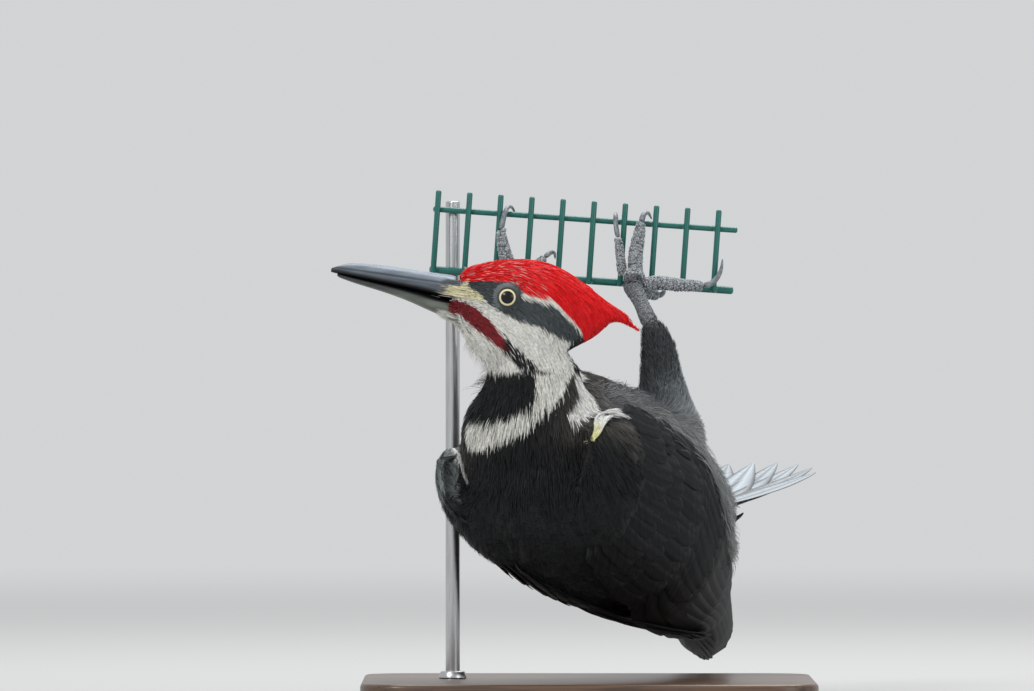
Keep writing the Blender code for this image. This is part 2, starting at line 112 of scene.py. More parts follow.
# Head markings on each side: borders as (distance behind the bill's root, height over its axis)
RED_BORDER = [(-6, 6.2), (-1.3, 6.1), (6.4, 7.7), (16.5, 9.9), (22.5, 10.8), (25.0, 8.6), (30.0, 6.6),
              (37.2, 8.1), (40.5, 6.7), (45.4, 3.5), (51.8, -0.6), (55.9, -6.1), (60, -8.5)]
BROW_LINE = [(19, 0.0), (22, 1.2), (26, 3.0), (31, 2.2), (38, 2.4), (46, 2.0), (54, 1.5), (59, 0.6)]
GREY_BORDER = [(3, 6.6), (5, 4.4), (9.7, 2.1), (19.1, -2.2), (28.1, -4.5), (36.7, -5.2), (42.6, -6.9),
               (52.3, -9.0), (60, -12)]
CHEEK_BORDER = [(-0.1, -1.3), (5.4, -1.4), (10.8, -3.2), (15.8, -6.3), (21.0, -10.7), (26.0, -14.7),
                (40.8, -24.2)]
MALAR_BORDER = [(0.9, -5.4), (8.1, -9.4), (15.3, -13.4), (21.4, -16.3), (26.5, -17.6), (32, -23.0),
                (41, -29.5)]
CREAM_BORDER = [(-6, 0.0), (4.9, 0.2), (9.5, 0.4), (13, -1.0), (17, -3.0)]
THROAT_END = -27.8
CREST_ROOT = 61.5

# White strokes down the neck and on the wings' front edges: right, height, front and half width, in mm
NECK_STROKES = [
    [(-11.5, 150, 86, 12.5), (-12, 142, 88, 10.8), (-14.3, 133.7, 90, 9.2), (-17.6, 127.0, 92, 8.2),
     (-23.2, 121.0, 92, 7.2), (-33.5, 115.9, 88, 6.0), (-44, 112.8, 80, 5.8), (-51, 112.4, 74, 7.6)],
    [(-14, 152, 52, 10), (-11, 143, 50, 8), (-7, 136, 56, 5.5)],
    [(-4.8, 134, 75, 3.4), (-2.4, 128.5, 71, 6.2), (-2.6, 124.4, 73, 5.8), (-6.2, 120.6, 79, 3.8)],
]
# the long stripe down the neck is painted a little darker and the two short ones lighter, as painted shade
# and painted light
NECK_PAINTED_SHADING = (0.94, 1.15, 1.15)
WING_STROKES = [
    [(17, 118.6, 54, 1.4), (13, 119.6, 59, 2.0), (8.8, 119.2, 66, 2.2), (5.4, 117.2, 73, 1.8)],
    [(-59, 106, 44, 1.0), (-54.5, 105, 45, 1.0), (-51.8, 101.5, 49, 0.8)],
]
SCOOP_STROKE = [(-60, 103, 46, 6.5), (-60.5, 97, 48, 7.5), (-61, 91, 52, 6.5)]
# Fine feathers along the wings' front edges: line, half width at both ends, lowest and highest above the
# skin, colour at both ends, length, count
EDGE_LINES = [
    ([(27, 114.5, 42), (18, 118.8, 53), (11.0, 119.4, 63), (6.0, 117.2, 72.5), (3.0, 114.2, 81),
      (1.0, 111.2, 87.4)],
     (5.6, 0.8), (1.7, 2.8), (0.90, 0.90, 0.88), (0.85, 0.80, 0.42), 6.0, 1200),
    # the wrist's grey runs from pale at its upper end to dark at its lower end: painted highlight above and
    # painted shade below
    ([(-56.6, 106.8, 43), (-59.6, 100, 48.5), (-59.8, 91, 54), (-58.2, 82, 58)],
     (4.8, 6.0), (1.6, 2.6), (0.25, 0.28, 0.285), (0.06, 0.07, 0.073), 8.0, 1500),
    ([(-56.8, 106.6, 44), (-53.0, 103.2, 49), (-51.2, 98.8, 53), (-50.2, 94, 57.5)],
     (1.3, 0.5), (1.6, 2.7), (0.88, 0.88, 0.86), (0.5, 0.5, 0.5), 5.0, 300),
]
WHITE_WING = (0.85, 0.85, 0.80)
SCOOP_GREY = (0.17, 0.19, 0.195)
# Grey of the flank down, set as bright as its highlights: its own grey with painted highlight
FLANK_GREY_AND_HIGHLIGHT = (0.25, 0.26, 0.258)
VENT_GREY = (0.058, 0.057, 0.055)


def unit(vectors):
    return vectors / np.maximum(np.linalg.norm(vectors, axis=-1, keepdims=True), 1e-12)


def world(right_height_front):
    """World points from distances to the right, above the table and in front, in mm."""
    rows = np.asarray(right_height_front, float)
    return np.stack([rows[..., 0], -rows[..., 2], rows[..., 1]], -1) * MM


def axes(forward, left):
    """Three square directions: forward, left as near as can be to the one given, and up."""
    forward = unit(forward)
    up = unit(np.cross(forward, left))
    return forward, np.cross(up, forward), up


HEADWARD, LEFT, BACK = axes(SHOULDERS - TAIL_ROOT, BIRDS_LEFT)
TAILWARD = -HEADWARD
BILL_AIM = np.array((-math.cos(BILL_RISE), 0, math.sin(BILL_RISE)))
BILLWARD, HEAD_LEFT, CROWN = axes(BILL_AIM, np.array((0, -1.0, 0)))


def in_head(points):
    """Distances behind the bill's root, above its axis and to the left of it, in mm."""
    offset = (points - BILL_ROOT) / MM
    return -offset @ BILLWARD, offset @ CROWN, offset @ HEAD_LEFT


def along_trunk(points):
    """Distance of points from the shoulders towards the tail, in mm."""
    return (points - SHOULDERS) @ TAILWARD / MM


def trunk_centre(place):
    """Points on the trunk's axis at distances from the shoulders, in mm."""
    place = np.asarray(place, float)
    share = np.clip(place * MM / np.linalg.norm(TAIL_ROOT - SHOULDERS), 0, 1)
    sag = BACK_SAG * np.sin(math.pi * share)
    return SHOULDERS + place[..., None] * MM * TAILWARD + sag[..., None] * BACK


def bed_at(place):
    """The wing bed's sizes at places along it."""
    return [np.interp(place, WING_BED[:, 0], sizes) for sizes in WING_BED[:, 1:].T]


def wing_point(side, place, share, rise):
    """Points over the wing bed: share runs from its lower edge (0) to the edge by the back (1)."""
    place = np.asarray(place, float)
    shift, drop, width, depth, low, high = bed_at(place)
    angle = np.radians(low + (high - low) * share)
    out = shift + side * (width + BED_GAP + rise) * np.cos(angle)
    up = drop + (depth + BED_GAP + rise) * np.sin(angle)
    return trunk_centre(place) + (out * MM)[..., None] * LEFT + (up * MM)[..., None] * BACK


def on_wing(points):
    """Place along the wing, share across it and distance from the axis in bed radii, near the trunk."""
    place = along_trunk(points)
    _, drop, width, depth, low, high = bed_at(place)
    offset = (points - trunk_centre(place)) / MM
    out = np.abs(offset @ LEFT)
    up = offset @ BACK - drop
    angle = np.degrees(np.arctan2(up / depth, out / width))
    turn = np.radians(angle)
    bed = np.hypot(width * np.cos(turn), depth * np.sin(turn))
    return place, (angle - low) / (high - low), np.hypot(out, up) / np.maximum(bed, 1)


def border(stations, place):
    """Height of a border of the markings at distances behind the bill's root, in mm."""
    rows = np.asarray(stations, float)
    return np.interp(place, rows[:, 0], rows[:, 1])


def smooth_step(low, high, value):
    """0 before low, 1 beyond high and a smooth change between them."""
    t = np.clip((value - low) / (high - low), 0, 1)
    return t * t * (3 - 2 * t)


def near_segment(points, a, b):
    """Share of the way from a to b at which each point is nearest, and its distance there."""
    span = b - a
    t = np.clip((points - a) @ span / (span @ span), 0, 1)
    return t, np.linalg.norm(points - a - t[:, None] * span, axis=1)


def flattened(vectors, normals):
    """Vectors without their part along the normals."""
    return vectors - (vectors * normals).sum(1)[:, None] * normals


def stroke_depth(points, stroke):
    """How far points lie inside a tapering stroke along a line, in mm; negative outside."""
    rows = np.asarray(stroke, float)
    line = world(rows)
    best = np.full(len(points), -1e3)
    for a, b, start_half, end_half in zip(line, line[1:], rows[:, 3], rows[1:, 3]):
        t, gap = near_segment(points, a, b)
        best = np.maximum(best, start_half + (end_half - start_half) * t - gap / MM)
    return best


# ---------------------------------------------------------------- settings


def colour_property(name, description, default):
    return FloatVectorProperty(name=name, description=description, default=default, subtype="COLOR", size=3,
                               min=0, max=1)


def length_property(name, description, default):
    return FloatProperty(name=name, description=description, default=default, unit="LENGTH")


class PlumageSettings(bpy.types.PropertyGroup):
    """Sizes and colours of the plumage"""
    head_depth: length_property("Head coat depth", "Depth of the feathers on the head", 0.0011)
    body_depth: length_property("Body coat depth", "Depth of the feathers on the body", 0.0022)
    skin_detail: length_property("Skin detail", "Size of the skin's faces", 0.0011)
    body_spacing: length_property("Body feather spacing", "Distance between the body's feathers", 0.0032)
    head_density: FloatProperty(name="Head tufts", description="Tufts on a square millimetre", default=7.0)
    seed: IntProperty(name="Seed", description="Start of the random draws", default=7)
    black: colour_property("Black", "Back, wings and tail", (0.0085, 0.0098, 0.0105))
    belly: colour_property("Belly", "Dull black underparts", (0.066, 0.062, 0.056))
    thigh: colour_property("Thigh", "Slate-grey thighs", (0.105, 0.116, 0.122))
    red: colour_property("Red", "Crown and crest", (0.80, 0.008, 0.012))
    malar: colour_property("Moustache", "Red moustache stripe", (0.23, 0.016, 0.022))
    white: colour_property("White", "Cheek and neck stripes", (0.80, 0.80, 0.74))
    cream: colour_property("Cream", "Tuft over the nostril", (0.84, 0.77, 0.52))
    grey: colour_property("Grey", "Band through the eye", (0.070, 0.082, 0.088))


class BarePartSettings(bpy.types.PropertyGroup):
    """Sizes and colours of the eyes, bill and feet"""
    eye_radius: length_property("Eyeball radius", "Radius of the eyeball", 0.0052)
    iris_radius: length_property("Iris radius", "Radius of the pale ring", 0.0036)
    pupil_radius: length_property("Pupil radius", "Radius of the pupil", 0.0027)
    iris: colour_property("Iris", "Pale ring of the eye", (0.80, 0.74, 0.46))
    bill: colour_property("Bill", "Slate horn of the bill", (0.16, 0.19, 0.23))
    foot: colour_property("Foot", "Scaly skin of the feet", (0.30, 0.33, 0.35))
    claw: colour_property("Claw", "Horn of the claws", (0.15, 0.17, 0.19))


class StandSettings(bpy.types.PropertyGroup):
    """Colours of the perch, the stand and the floor"""
    wire: colour_property("Wire", "Plastic coat of the wires", (0.002, 0.050, 0.042))
    base: colour_property("Base", "Stained wood of the base", (0.085, 0.045, 0.025))
    rod: colour_property("Rod", "Brushed steel of the rod", (0.56, 0.57, 0.58))
    floor: colour_property("Floor", "Pale studio floor", (0.50, 0.50, 0.495))


def plumage():
    return bpy.context.scene.woodpecker_plumage


def bare_parts():
    return bpy.context.scene.woodpecker_bare_parts


def stand():
    return bpy.context.scene.woodpecker_stand


# ---------------------------------------------------------------- materials


def connect(node, inputs):
    """Links a node's inputs to sockets, or gives them values."""
    for key, value in inputs.items():
        if isinstance(value, bpy.types.NodeSocket):
            node.id_data.links.new(value, node.inputs[key])
        else:
            node.inputs[key].default_value = value


def add_node(tree, kind, inputs, **settings):
    node = tree.nodes.new(kind)
    for key, value in settings.items():
        setattr(node, key, value)
    connect(node, inputs)
    return node


def object_place(tree):
    return add_node(tree, "ShaderNodeTexCoord", {}).outputs["Object"]


def object_noise(tree, scale, detail, roughness=0.55, stretch=(1, 1, 1)):
    """Noise in the object's own coordinates; scale is per metre."""
    place = add_node(tree, "ShaderNodeMapping", {"Vector": object_place(tree), "Scale": stretch})
    inputs = {"Vector": place.outputs["Vector"], "Scale": scale, "Detail": detail, "Roughness": roughness}
    return add_node(tree, "ShaderNodeTexNoise", inputs).outputs["Fac"]


def object_cells(tree, scale, feature):
    """Distances in a pattern of cells in the object's own coordinates; scale is per metre."""
    inputs = {"Vector": object_place(tree), "Scale": scale}
    return add_node(tree, "ShaderNodeTexVoronoi", inputs, feature=feature).outputs["Distance"]


def worked_out(tree, operation, *values):
    return add_node(tree, "ShaderNodeMath", dict(enumerate(values)), operation=operation).outputs[0]


def even(value):
    return (value,) * 3


def darker(colour, share):
    return tuple(channel * share for channel in colour)


def ramp(tree, fac, stops):
    """Colours along a pattern, as (place, colour) from low to high."""
    node = add_node(tree, "ShaderNodeValToRGB", {"Fac": fac})
    stops = [(at, (*colour, 1.0)) for at, colour in stops]
    node.color_ramp.elements[0].position, node.color_ramp.elements[0].color = stops[0]
    node.color_ramp.elements[1].position, node.color_ramp.elements[1].color = stops[-1]
    for at, colour in stops[1:-1]:
        node.color_ramp.elements.new(at).color = colour
    return node.outputs["Color"]


def mix_colours(tree, fac, first, second, blend):
    inputs = {"Factor": fac, 6: first, 7: second}
    return add_node(tree, "ShaderNodeMix", inputs, data_type="RGBA", blend_type=blend).outputs[2]


def bump(tree, height, strength, distance):
    inputs = {"Height": height, "Strength": strength, "Distance": distance}
    return add_node(tree, "ShaderNodeBump", inputs).outputs["Normal"]


def shaded_marking(tree, pattern, stops):
    """The marking that the mesh carries, shaded by a pattern."""
    marking = add_node(tree, "ShaderNodeAttribute", {}, attribute_name="marking").outputs["Color"]
    return mix_colours(tree, 1.0, marking, ramp(tree, pattern, stops), "MULTIPLY")


def feather_finish(tree, shader, gloss, sheen, tint):
    """Small feathers with a soft sheen."""
    colour = shaded_marking(tree, object_noise(tree, 900, 2), [(0.3, even(0.78)), (0.7, even(1.12))])
    connect(shader, {"Base Color": colour, "Roughness": gloss, "Specular IOR Level": 0.22,
                     "Sheen Weight": sheen, "Sheen Roughness": 0.45, "Sheen Tint": (*tint, 1)})


# Barbs of the large feathers: their slant from the shaft and how many radians of them a metre holds
BARB_SLANT = 1.3
BARB_RADIANS = 6500.0


def quill_finish(tree, shader, gloss, coat, specular=0.5, streaking=0.375):
    """Large feathers: barbs slant from the shaft, read from the vane's own map."""
    place = add_node(tree, "ShaderNodeUVMap", {}, uv_map="vane").outputs["UV"]
    parts = add_node(tree, "ShaderNodeSeparateXYZ", {"Vector": place}).outputs
    side = worked_out(tree, "ABSOLUTE", parts["X"])
    slant = worked_out(tree, "MULTIPLY_ADD", side, -BARB_SLANT, parts["Y"])
    barb = worked_out(tree, "SINE", worked_out(tree, "MULTIPLY", slant, BARB_RADIANS))
    streak = add_node(tree, "ShaderNodeTexNoise", {"W": slant, "Scale": 420.0, "Detail": 3.0},
                      noise_dimensions="1D").outputs["Fac"]
    colour = shaded_marking(tree, streak, [(0.35, even(1 - streaking)), (0.65, even(1 + streaking))])
    relief = bump(tree, worked_out(tree, "MULTIPLY_ADD", barb, 0.5, streak), 0.5, 0.00012)
    connect(shader, {"Base Color": colour, "Normal": relief, "Roughness": gloss,
                     "Specular IOR Level": specular, "Coat Weight": coat, "Coat Roughness": 0.3})


def skin_finish(tree, shader):
    """Dull skin in the markings' colours, painted darker than the feathers over it as painted shade under
    them.
    """
    grain = object_noise(tree, 2500, 4)
    colour = shaded_marking(tree, grain, [(0.3, even(0.45)), (0.7, even(0.85))])
    connect(shader, {"Base Color": colour, "Normal": bump(tree, grain, 0.6, 0.0003), "Roughness": 0.85})


def bill_finish(tree, shader):
    """Streaked horn of the bill."""
    streaks = object_noise(tree, 420, 5, 0.6, (0.12, 1, 1))
    stops = [(0.25, (0.55, 0.55, 0.57)), (0.5, even(1)), (0.8, (1.5, 1.5, 1.45))]
    connect(shader, {"Base Color": shaded_marking(tree, streaks, stops), "Roughness": 0.42,
                     "Normal": bump(tree, streaks, 0.35, 0.0003), "Specular IOR Level": 0.32})


def foot_finish(tree, shader):
    """Fine scales of the feet, painted darker at their edges as painted shade in the grooves."""
    scales = object_cells(tree, 2200.0, "DISTANCE_TO_EDGE")
    colour = shaded_marking(tree, scales, [(0.0, (0.55, 0.55, 0.57)), (0.2, even(1.0)), (1.0, even(1.2))])
    connect(shader, {"Base Color": colour, "Normal": bump(tree, scales, 0.5, 0.0002), "Roughness": 0.5})


def lid_finish(tree, shader):
    """Beaded bare skin round the eyes."""
    beads = object_cells(tree, 2300.0, "F1")
    colour = shaded_marking(tree, beads, [(0.0, even(1.35)), (0.6, even(0.7))])
    connect(shader, {"Base Color": colour, "Normal": bump(tree, beads, -0.6, 0.0002), "Roughness": 0.5})


def eye_finish(tree, shader):
    """Wet eyeball with a flecked iris."""
    colour = shaded_marking(tree, object_noise(tree, 3000, 3), [(0.3, (0.8, 0.78, 0.75)), (0.7, even(1.08))])
    connect(shader, {"Base Color": colour, "Roughness": 0.35, "Specular IOR Level": 0.15, "Coat Weight": 0.45,
                     "Coat Roughness": 0.02})


def claw_finish(tree, shader):
    """Dark polished horn of the claws."""
    colour = bare_parts().claw[:]
    grain = object_noise(tree, 700, 4)
    shade = ramp(tree, grain, [(0.3, darker(colour, 0.6)), (0.7, darker(colour, 1.7))])
    connect(shader, {"Base Color": shade, "Normal": bump(tree, grain, 0.2, 0.0002), "Roughness": 0.28})


def wire_finish(tree, shader):
    """Green plastic coat of the wires, scuffed here and there."""
    colour = stand().wire[:]
    patch = object_noise(tree, 160, 4)
    scuff = object_noise(tree, 900, 5, 0.7)
    base = ramp(tree, patch, [(0.3, darker(colour, 0.55)), (0.7, darker(colour, 1.35))])
    worn = worked_out(tree, "MULTIPLY", ramp(tree, scuff, [(0.62, even(0)), (0.78, even(1))]), 0.22)
    connect(shader, {"Base Color": mix_colours(tree, worn, base, (0.10, 0.26, 0.23, 1), "MIX"),
                     "Normal": bump(tree, scuff, 0.25, 0.0004), "Roughness": 0.34})


def wood_finish(tree, shader):
    """Stained hardwood with open pores under varnish."""
    colour = stand().base[:]
    broad = object_noise(tree, 38, 4, 0.6, (0.12, 1, 1))
    pores = object_noise(tree, 900, 3, 0.5, (0.03, 1, 1))
    base = ramp(tree, broad, [(0.3, darker(colour, 0.5)), (0.5, colour), (0.72, darker(colour, 1.5))])
    open_pores = ramp(tree, pores, [(0.36, even(0.55)), (0.5, even(1))])
    connect(shader, {"Base Color": mix_colours(tree, 1.0, base, open_pores, "MULTIPLY"), "Roughness": 0.38,
                     "Normal": bump(tree, pores, 0.15, 0.0002), "Coat Weight": 0.25, "Coat Roughness": 0.2})


def steel_finish(tree, shader):
    """Steel brushed along the rod."""
    colour = stand().rod[:]
    brushing = object_noise(tree, 2500, 3, 0.6, (1, 1, 0.03))
    shade = ramp(tree, brushing, [(0.3, darker(colour, 0.8)), (0.7, darker(colour, 1.1))])
    connect(shader, {"Base Color": shade, "Normal": bump(tree, brushing, 0.15, 0.0001), "Metallic": 1.0,
                     "Roughness": 0.3})


def floor_finish(tree, shader):
    """Matt floor that passes into the pale surroundings with distance from the stand."""
    colour = stand().floor[:]
    shade = ramp(tree, object_noise(tree, 1.2, 2), [(0.3, darker(colour, 0.985)), (0.7, colour)])
    connect(shader, {"Base Color": shade, "Roughness": 0.9, "Specular IOR Level": 0.1})
    away = add_node(tree, "ShaderNodeVectorMath", {0: object_place(tree)}, operation="LENGTH")
    reach = {"Value": away.outputs["Value"], "From Min": 0.35, "From Max": 3.2}
    share = add_node(tree, "ShaderNodeMapRange", reach, interpolation_type="SMOOTHSTEP").outputs["Result"]
    glow = add_node(tree, "ShaderNodeEmission", {"Color": (*SKY, 1), "Strength": SKY_STRENGTH}).outputs[0]
    both = add_node(tree, "ShaderNodeMixShader", {0: share, 1: shader.outputs[0], 2: glow}).outputs[0]
    connect(tree.nodes["Material Output"], {"Surface": both})


def material(name, finish, *values):
    """The material of a name, given its finish the first time that it is asked for."""
    made = bpy.data.materials.get(name)
    if made is None:
        made = bpy.data.materials.new(name)
        made.use_nodes = True
        finish(made.node_tree, made.node_tree.nodes["Principled BSDF"], *values)
    return made


# ---------------------------------------------------------------- meshes


def add_piece(name, mesh, finish, replaced=()):
    """A finished piece that rides on the model's one body."""
    mesh.materials.clear()
    mesh.materials.append(finish)
    piece = bpy.data.objects.new(name, mesh)
    bpy.context.scene.collection.objects.link(piece)
    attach(piece, "root")
    if replaced:
        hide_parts(*replaced)
    return piece


def node_shape(*names):
    """The named CAD nodes' meshes, merged where their triangles meet."""
    shape = bmesh.new()
    for name in names:
        shape.from_mesh(frame["nodes"][name].data)
    bmesh.ops.remove_doubles(shape, verts=shape.verts, dist=1e-6)
    return shape


def to_mesh(name, shape, smooth=True):
    mesh = bpy.data.meshes.new(name)
    shape.to_mesh(mesh)
    shape.free()
    if smooth:
        mesh.shade_smooth()
    return mesh


def read_rows(items, key, size, kind):
    """Numbers from each of a mesh's items, as rows."""
    flat = np.empty(len(items) * size, kind)
    items.foreach_get(key, flat)
    return flat.reshape(-1, size)


def read_vectors(items, key, size=3):
    return read_rows(items, key, size, np.float32).astype(float)


def mesh_points(mesh):
    return read_vectors(mesh.vertices, "co")


def mesh_normals(mesh):
    return read_vectors(mesh.vertices, "normal")


def tree_of(points):
    """A tree that finds the point nearest to a place."""
    tree = KDTree(len(points))
    for index, point in enumerate(points):
        tree.insert(point, index)
    tree.balance()
    return tree


def long_axis(points):
    """The middle of some points and the direction in which they reach farthest."""
    centre = points.mean(0)
    return centre, np.linalg.svd(points - centre, full_matrices=False)[2][0]


def set_points(mesh, points):
    mesh.vertices.foreach_set("co", np.ascontiguousarray(points, np.float32).ravel())
    mesh.update()


def set_marking(mesh, colours):
    layer = mesh.color_attributes.new(name="marking", type="FLOAT_COLOR", domain="POINT")
    rgba = np.ones((len(mesh.vertices), 4), np.float32)
    rgba[:, :3] = colours
    layer.data.foreach_set("color", rgba.ravel())


def set_vectors(mesh, name, values):
    layer = mesh.attributes.new(name=name, type="FLOAT_VECTOR", domain="POINT")
    layer.data.foreach_set("vector", np.ascontiguousarray(values, np.float32).ravel())


def evaluated_mesh(shape, name, add_modifiers):
    """The bmesh after modifiers, as a new mesh."""
    holder = bpy.data.objects.new(name, to_mesh(name, shape))
    bpy.context.scene.collection.objects.link(holder)
    add_modifiers(holder)
    graph = bpy.context.evaluated_depsgraph_get()
    made = bpy.data.meshes.new_from_object(holder.evaluated_get(graph))
    old = holder.data
    bpy.data.objects.remove(holder)
    bpy.data.meshes.remove(old)
    made.name = name
    return made


def grown_together(shape, name, size):
    """The bmesh's shapes joined into one skin, with faces of about a size."""

    def remesh(holder):
        step = holder.modifiers.new("skin", "REMESH")
        step.mode = "VOXEL"
        step.voxel_size = size

    return evaluated_mesh(shape, name, remesh)


def edges_of(mesh):
    return read_rows(mesh.edges, "vertices", 2, np.int32)


def relaxed(values, edges, rounds, share=0.5):
    """Values at vertices drawn towards the mean of their neighbours."""
    near, far = edges.T
    size = len(values)
    count = np.bincount(edges.ravel(), minlength=size)[:, None].astype(float)
    for _ in range(rounds):
        total = np.stack([np.bincount(near, column[far], size) + np.bincount(far, column[near], size)
                          for column in values.T], 1)
        values = values + share * (total / np.maximum(count, 1) - values)
    return values


# ---------------------------------------------------------------- skin and the lie of its coat

# A feather's line follows the skin while the skin is this near
HOLD_OF_SKIN = 1.7 * MM


def line_pull(points, line, reach):
    """Direction along the nearest parts of a line, and the distance to it, both in metres."""
    segments = [(b - a, near_segment(points, a, b)[1]) for a, b in zip(line, line[1:])]
    nearest = np.min([gap for _, gap in segments], axis=0)
    pull = np.zeros_like(points)
    total = np.zeros(len(points))
    for span, gap in segments:
        weight = np.exp(-(((gap - nearest) / reach) ** 2))
        pull += weight[:, None] * unit(span)
        total += weight
    return pull / total[:, None], nearest


def thigh_share(points):
    """How much of each point belongs to a thigh outside the trunk, and the way to its foot."""
    share = np.zeros(len(points))
    way = np.zeros_like(points)
    height = points[:, 2] / MM
    for rows in THIGHS.values():
        pull, gap = line_pull(points, world(rows), 0.006)
        own = smooth_step(24, 11, gap / MM) * smooth_step(116, 130, height)
        way = np.where((own > share)[:, None], -pull, way)
        share = np.maximum(share, own)
    return share, way


def coat_depth(points):
    """How deep the skin lies under the plumage's outside, in metres."""
    settings = plumage()
    back, crown, _ = in_head(points)
    head = smooth_step(-42, -24, crown) * smooth_step(-8, 2, back + 6)
    thigh, _ = thigh_share(points)
    depth = settings.body_depth + (settings.head_depth - settings.body_depth) * head
    return depth + (THIGH_COAT - depth) * thigh


def flank_share(points):
    """How much of each point belongs to the grey flanks, under the wings' lower edges."""
    place, share, _ = on_wing(points)
    *_, low, high = bed_at(place)
    angle = low + (high - low) * share
    flank = smooth_step(-60, -25, angle) * smooth_step(low + 3, low - 4, angle) * smooth_step(2, 26, place)
    return flank * smooth_step(150, 143, place) * (1 - 0.55 * smooth_step(85, 120, place))


def body_markings(points, waver):
    """Colours of the trunk, thighs and neck and of the wings' front edges."""
    s = plumage()
    height = points[:, 2] / MM
    place = along_trunk(points)
    above = (points - trunk_centre(place)) / MM @ BACK
    belly = smooth_step(6, -6, above + waver * 3) * smooth_step(-22, -6, place)
    belly = belly * smooth_step(143, 132, height - 30)
    vent = smooth_step(100, 122, place) * smooth_step(6, -8, above)
    thigh, _ = thigh_share(points)
    paling = (0.6 + 1.9 * smooth_step(150, 122, height))[:, None]
    # the flank grey is partly painted highlight
    layers = [(np.array(s.belly), belly), (np.array(VENT_GREY), vent),
              (np.array(FLANK_GREY_AND_HIGHLIGHT), flank_share(points)), (np.array(s.thigh) * paling, thigh)]
    colours = np.tile(np.array(s.black), (len(points), 1))
    for colour, share in layers:
        colours += (colour - colours) * share[:, None]
    # each neck stripe's white is scaled by its painted shading
    strokes = [(stroke, 1.0, np.array(s.white) * tone) for stroke, tone in zip(NECK_STROKES, NECK_PAINTED_SHADING)]
    strokes.append((SCOOP_STROKE, 0.5, SCOOP_GREY))
    strokes += [(stroke, 0.3, WHITE_WING) for stroke in WING_STROKES]
    for stroke, wavering, colour in strokes:
        inside = stroke_depth(points, stroke) + waver * wavering > 0
        colours = np.where(inside[:, None], colour, colours)
    return colours


CHEEK, BAND, MOUSTACHE, STREAK, CAP, TUFT, FLECK = range(1, 8)


def head_zones(points, waver, rng):
    """The marking that each point has if it lies on the head."""
    back, crown, side = in_head(points)
    edge = crown + waver
    cap_edge = crown + waver * 0.5
    red_at = border(RED_BORDER, back)
    brow = np.where((back < 18) | (back > 58), 0, border(BROW_LINE, back))
    grey_at = border(GREY_BORDER, back)
    cheek_at = border(CHEEK_BORDER, back)
    malar_at = border(MALAR_BORDER, back)
    zone = np.full(len(points), CHEEK)
    zone[edge > grey_at] = BAND
    zone[(edge > grey_at) & (back < 4)] = TUFT
    zone[(edge < cheek_at) & (edge > malar_at) & (back < 26.5)] = MOUSTACHE
    streak = (edge < cheek_at + 1.6) & (edge > malar_at - 1.0) & (back >= 24)
    zone[streak & (rng.random(len(points)) < 0.86)] = STREAK
    zone[cap_edge > red_at - brow] = CHEEK
    zone[cap_edge > red_at] = CAP
    tuft = (back < 12) & (edge < red_at - 0.6) & (edge > border(CREAM_BORDER, back))
    zone[(zone < MOUSTACHE) & tuft & (edge < 6.6 - 0.35 * np.maximum(back, 0))] = TUFT
    zone[(back > 47) & (np.abs(side) < 4.5 + waver) & (crown < red_at)] = STREAK
    zone[back > CREST_ROOT] = CAP
    fleck = (zone == CAP) & (back < 34) & (crown < red_at + 8)
    zone[fleck & (rng.random(len(points)) < 0.11)] = FLECK
    return zone


def markings(points, rng):
    """Plumage colour at points; each border wavers a little, as it does between feathers."""
    s = plumage()
    waver = rng.normal(0, 0.45, len(points))
    colours = body_markings(points, waver)
    zone = head_zones(points, waver, rng)
    back, crown, side = in_head(points)
    height = points[:, 2] / MM
    head = (crown > THROAT_END) & (back < 62) & (height > 138) & (np.abs(side) < 22)
    black, white, red = np.array(s.black), np.array(s.white), np.array(s.red)
    palette = {CHEEK: white, BAND: np.array(s.grey), MOUSTACHE: np.array(s.malar), STREAK: black * 1.2,
               CAP: red, TUFT: np.array(s.cream), FLECK: red * 0.35 + white * 0.5}
    for key, colour in palette.items():
        colours = np.where((head & (zone == key))[:, None], colour, colours)
    crest = (back > CREST_ROOT) & (crown > -6) & (np.abs(side) < 12) & (height > 150)
    return np.where(crest[:, None], red, colours)


def plumpness(points):
    """How far the flesh is swollen before its shapes are joined, so that the folds between them fill."""
    _, crown, _ = in_head(points)
    body = smooth_step(-22, -48, crown)
    thigh, _ = thigh_share(points)
    return (0.5 + 2.2 * body * (1 - thigh) * smooth_step(130, 100, along_trunk(points))) * MM


def under_wings(points):
    """Points under the wings' large feathers, drawn in below them towards the trunk's axis."""
    place, share, radius = on_wing(points)
    held = smooth_step(16, 30, place) * smooth_step(-0.10, 0.0, share) * smooth_step(1.12, 1.0, share)
    held = held * smooth_step(150, 140, place)
    centre = trunk_centre(place)
    drawn = 1 + (np.minimum(0.965 / np.maximum(radius, 0.2), 1) - 1) * held
    return centre + (points - centre) * drawn[:, None]


def add_wing_flesh(shape, name):
    """Adds a wing to a bmesh as far as its flesh reaches."""
    wing = node_shape(name)
    everything = wing.verts[:] + wing.edges[:] + wing.faces[:]
    bmesh.ops.bisect_plane(wing, geom=everything, plane_co=Vector(trunk_centre(WING_FLESH_END)),
                           plane_no=Vector(TAILWARD), clear_outer=True)
    bmesh.ops.holes_fill(wing, edges=wing.edges, sides=0)
    flesh = to_mesh("wing_flesh", wing)
    shape.from_mesh(flesh)
    bpy.data.meshes.remove(flesh)


def lie_of_coat(points, normals, edges):
    """The way that feathers lie at each point of the skin: down the body, and up the thighs to the feet."""
    pull, _ = line_pull(points, world(SPINE), 0.010)
    thigh, way = thigh_share(points)
    pull = unit(unit(pull) * (1 - thigh)[:, None] + way * thigh[:, None])
    for rounds in (25, 10):
        pull = unit(flattened(relaxed(pull, edges, rounds), normals))
    return pull


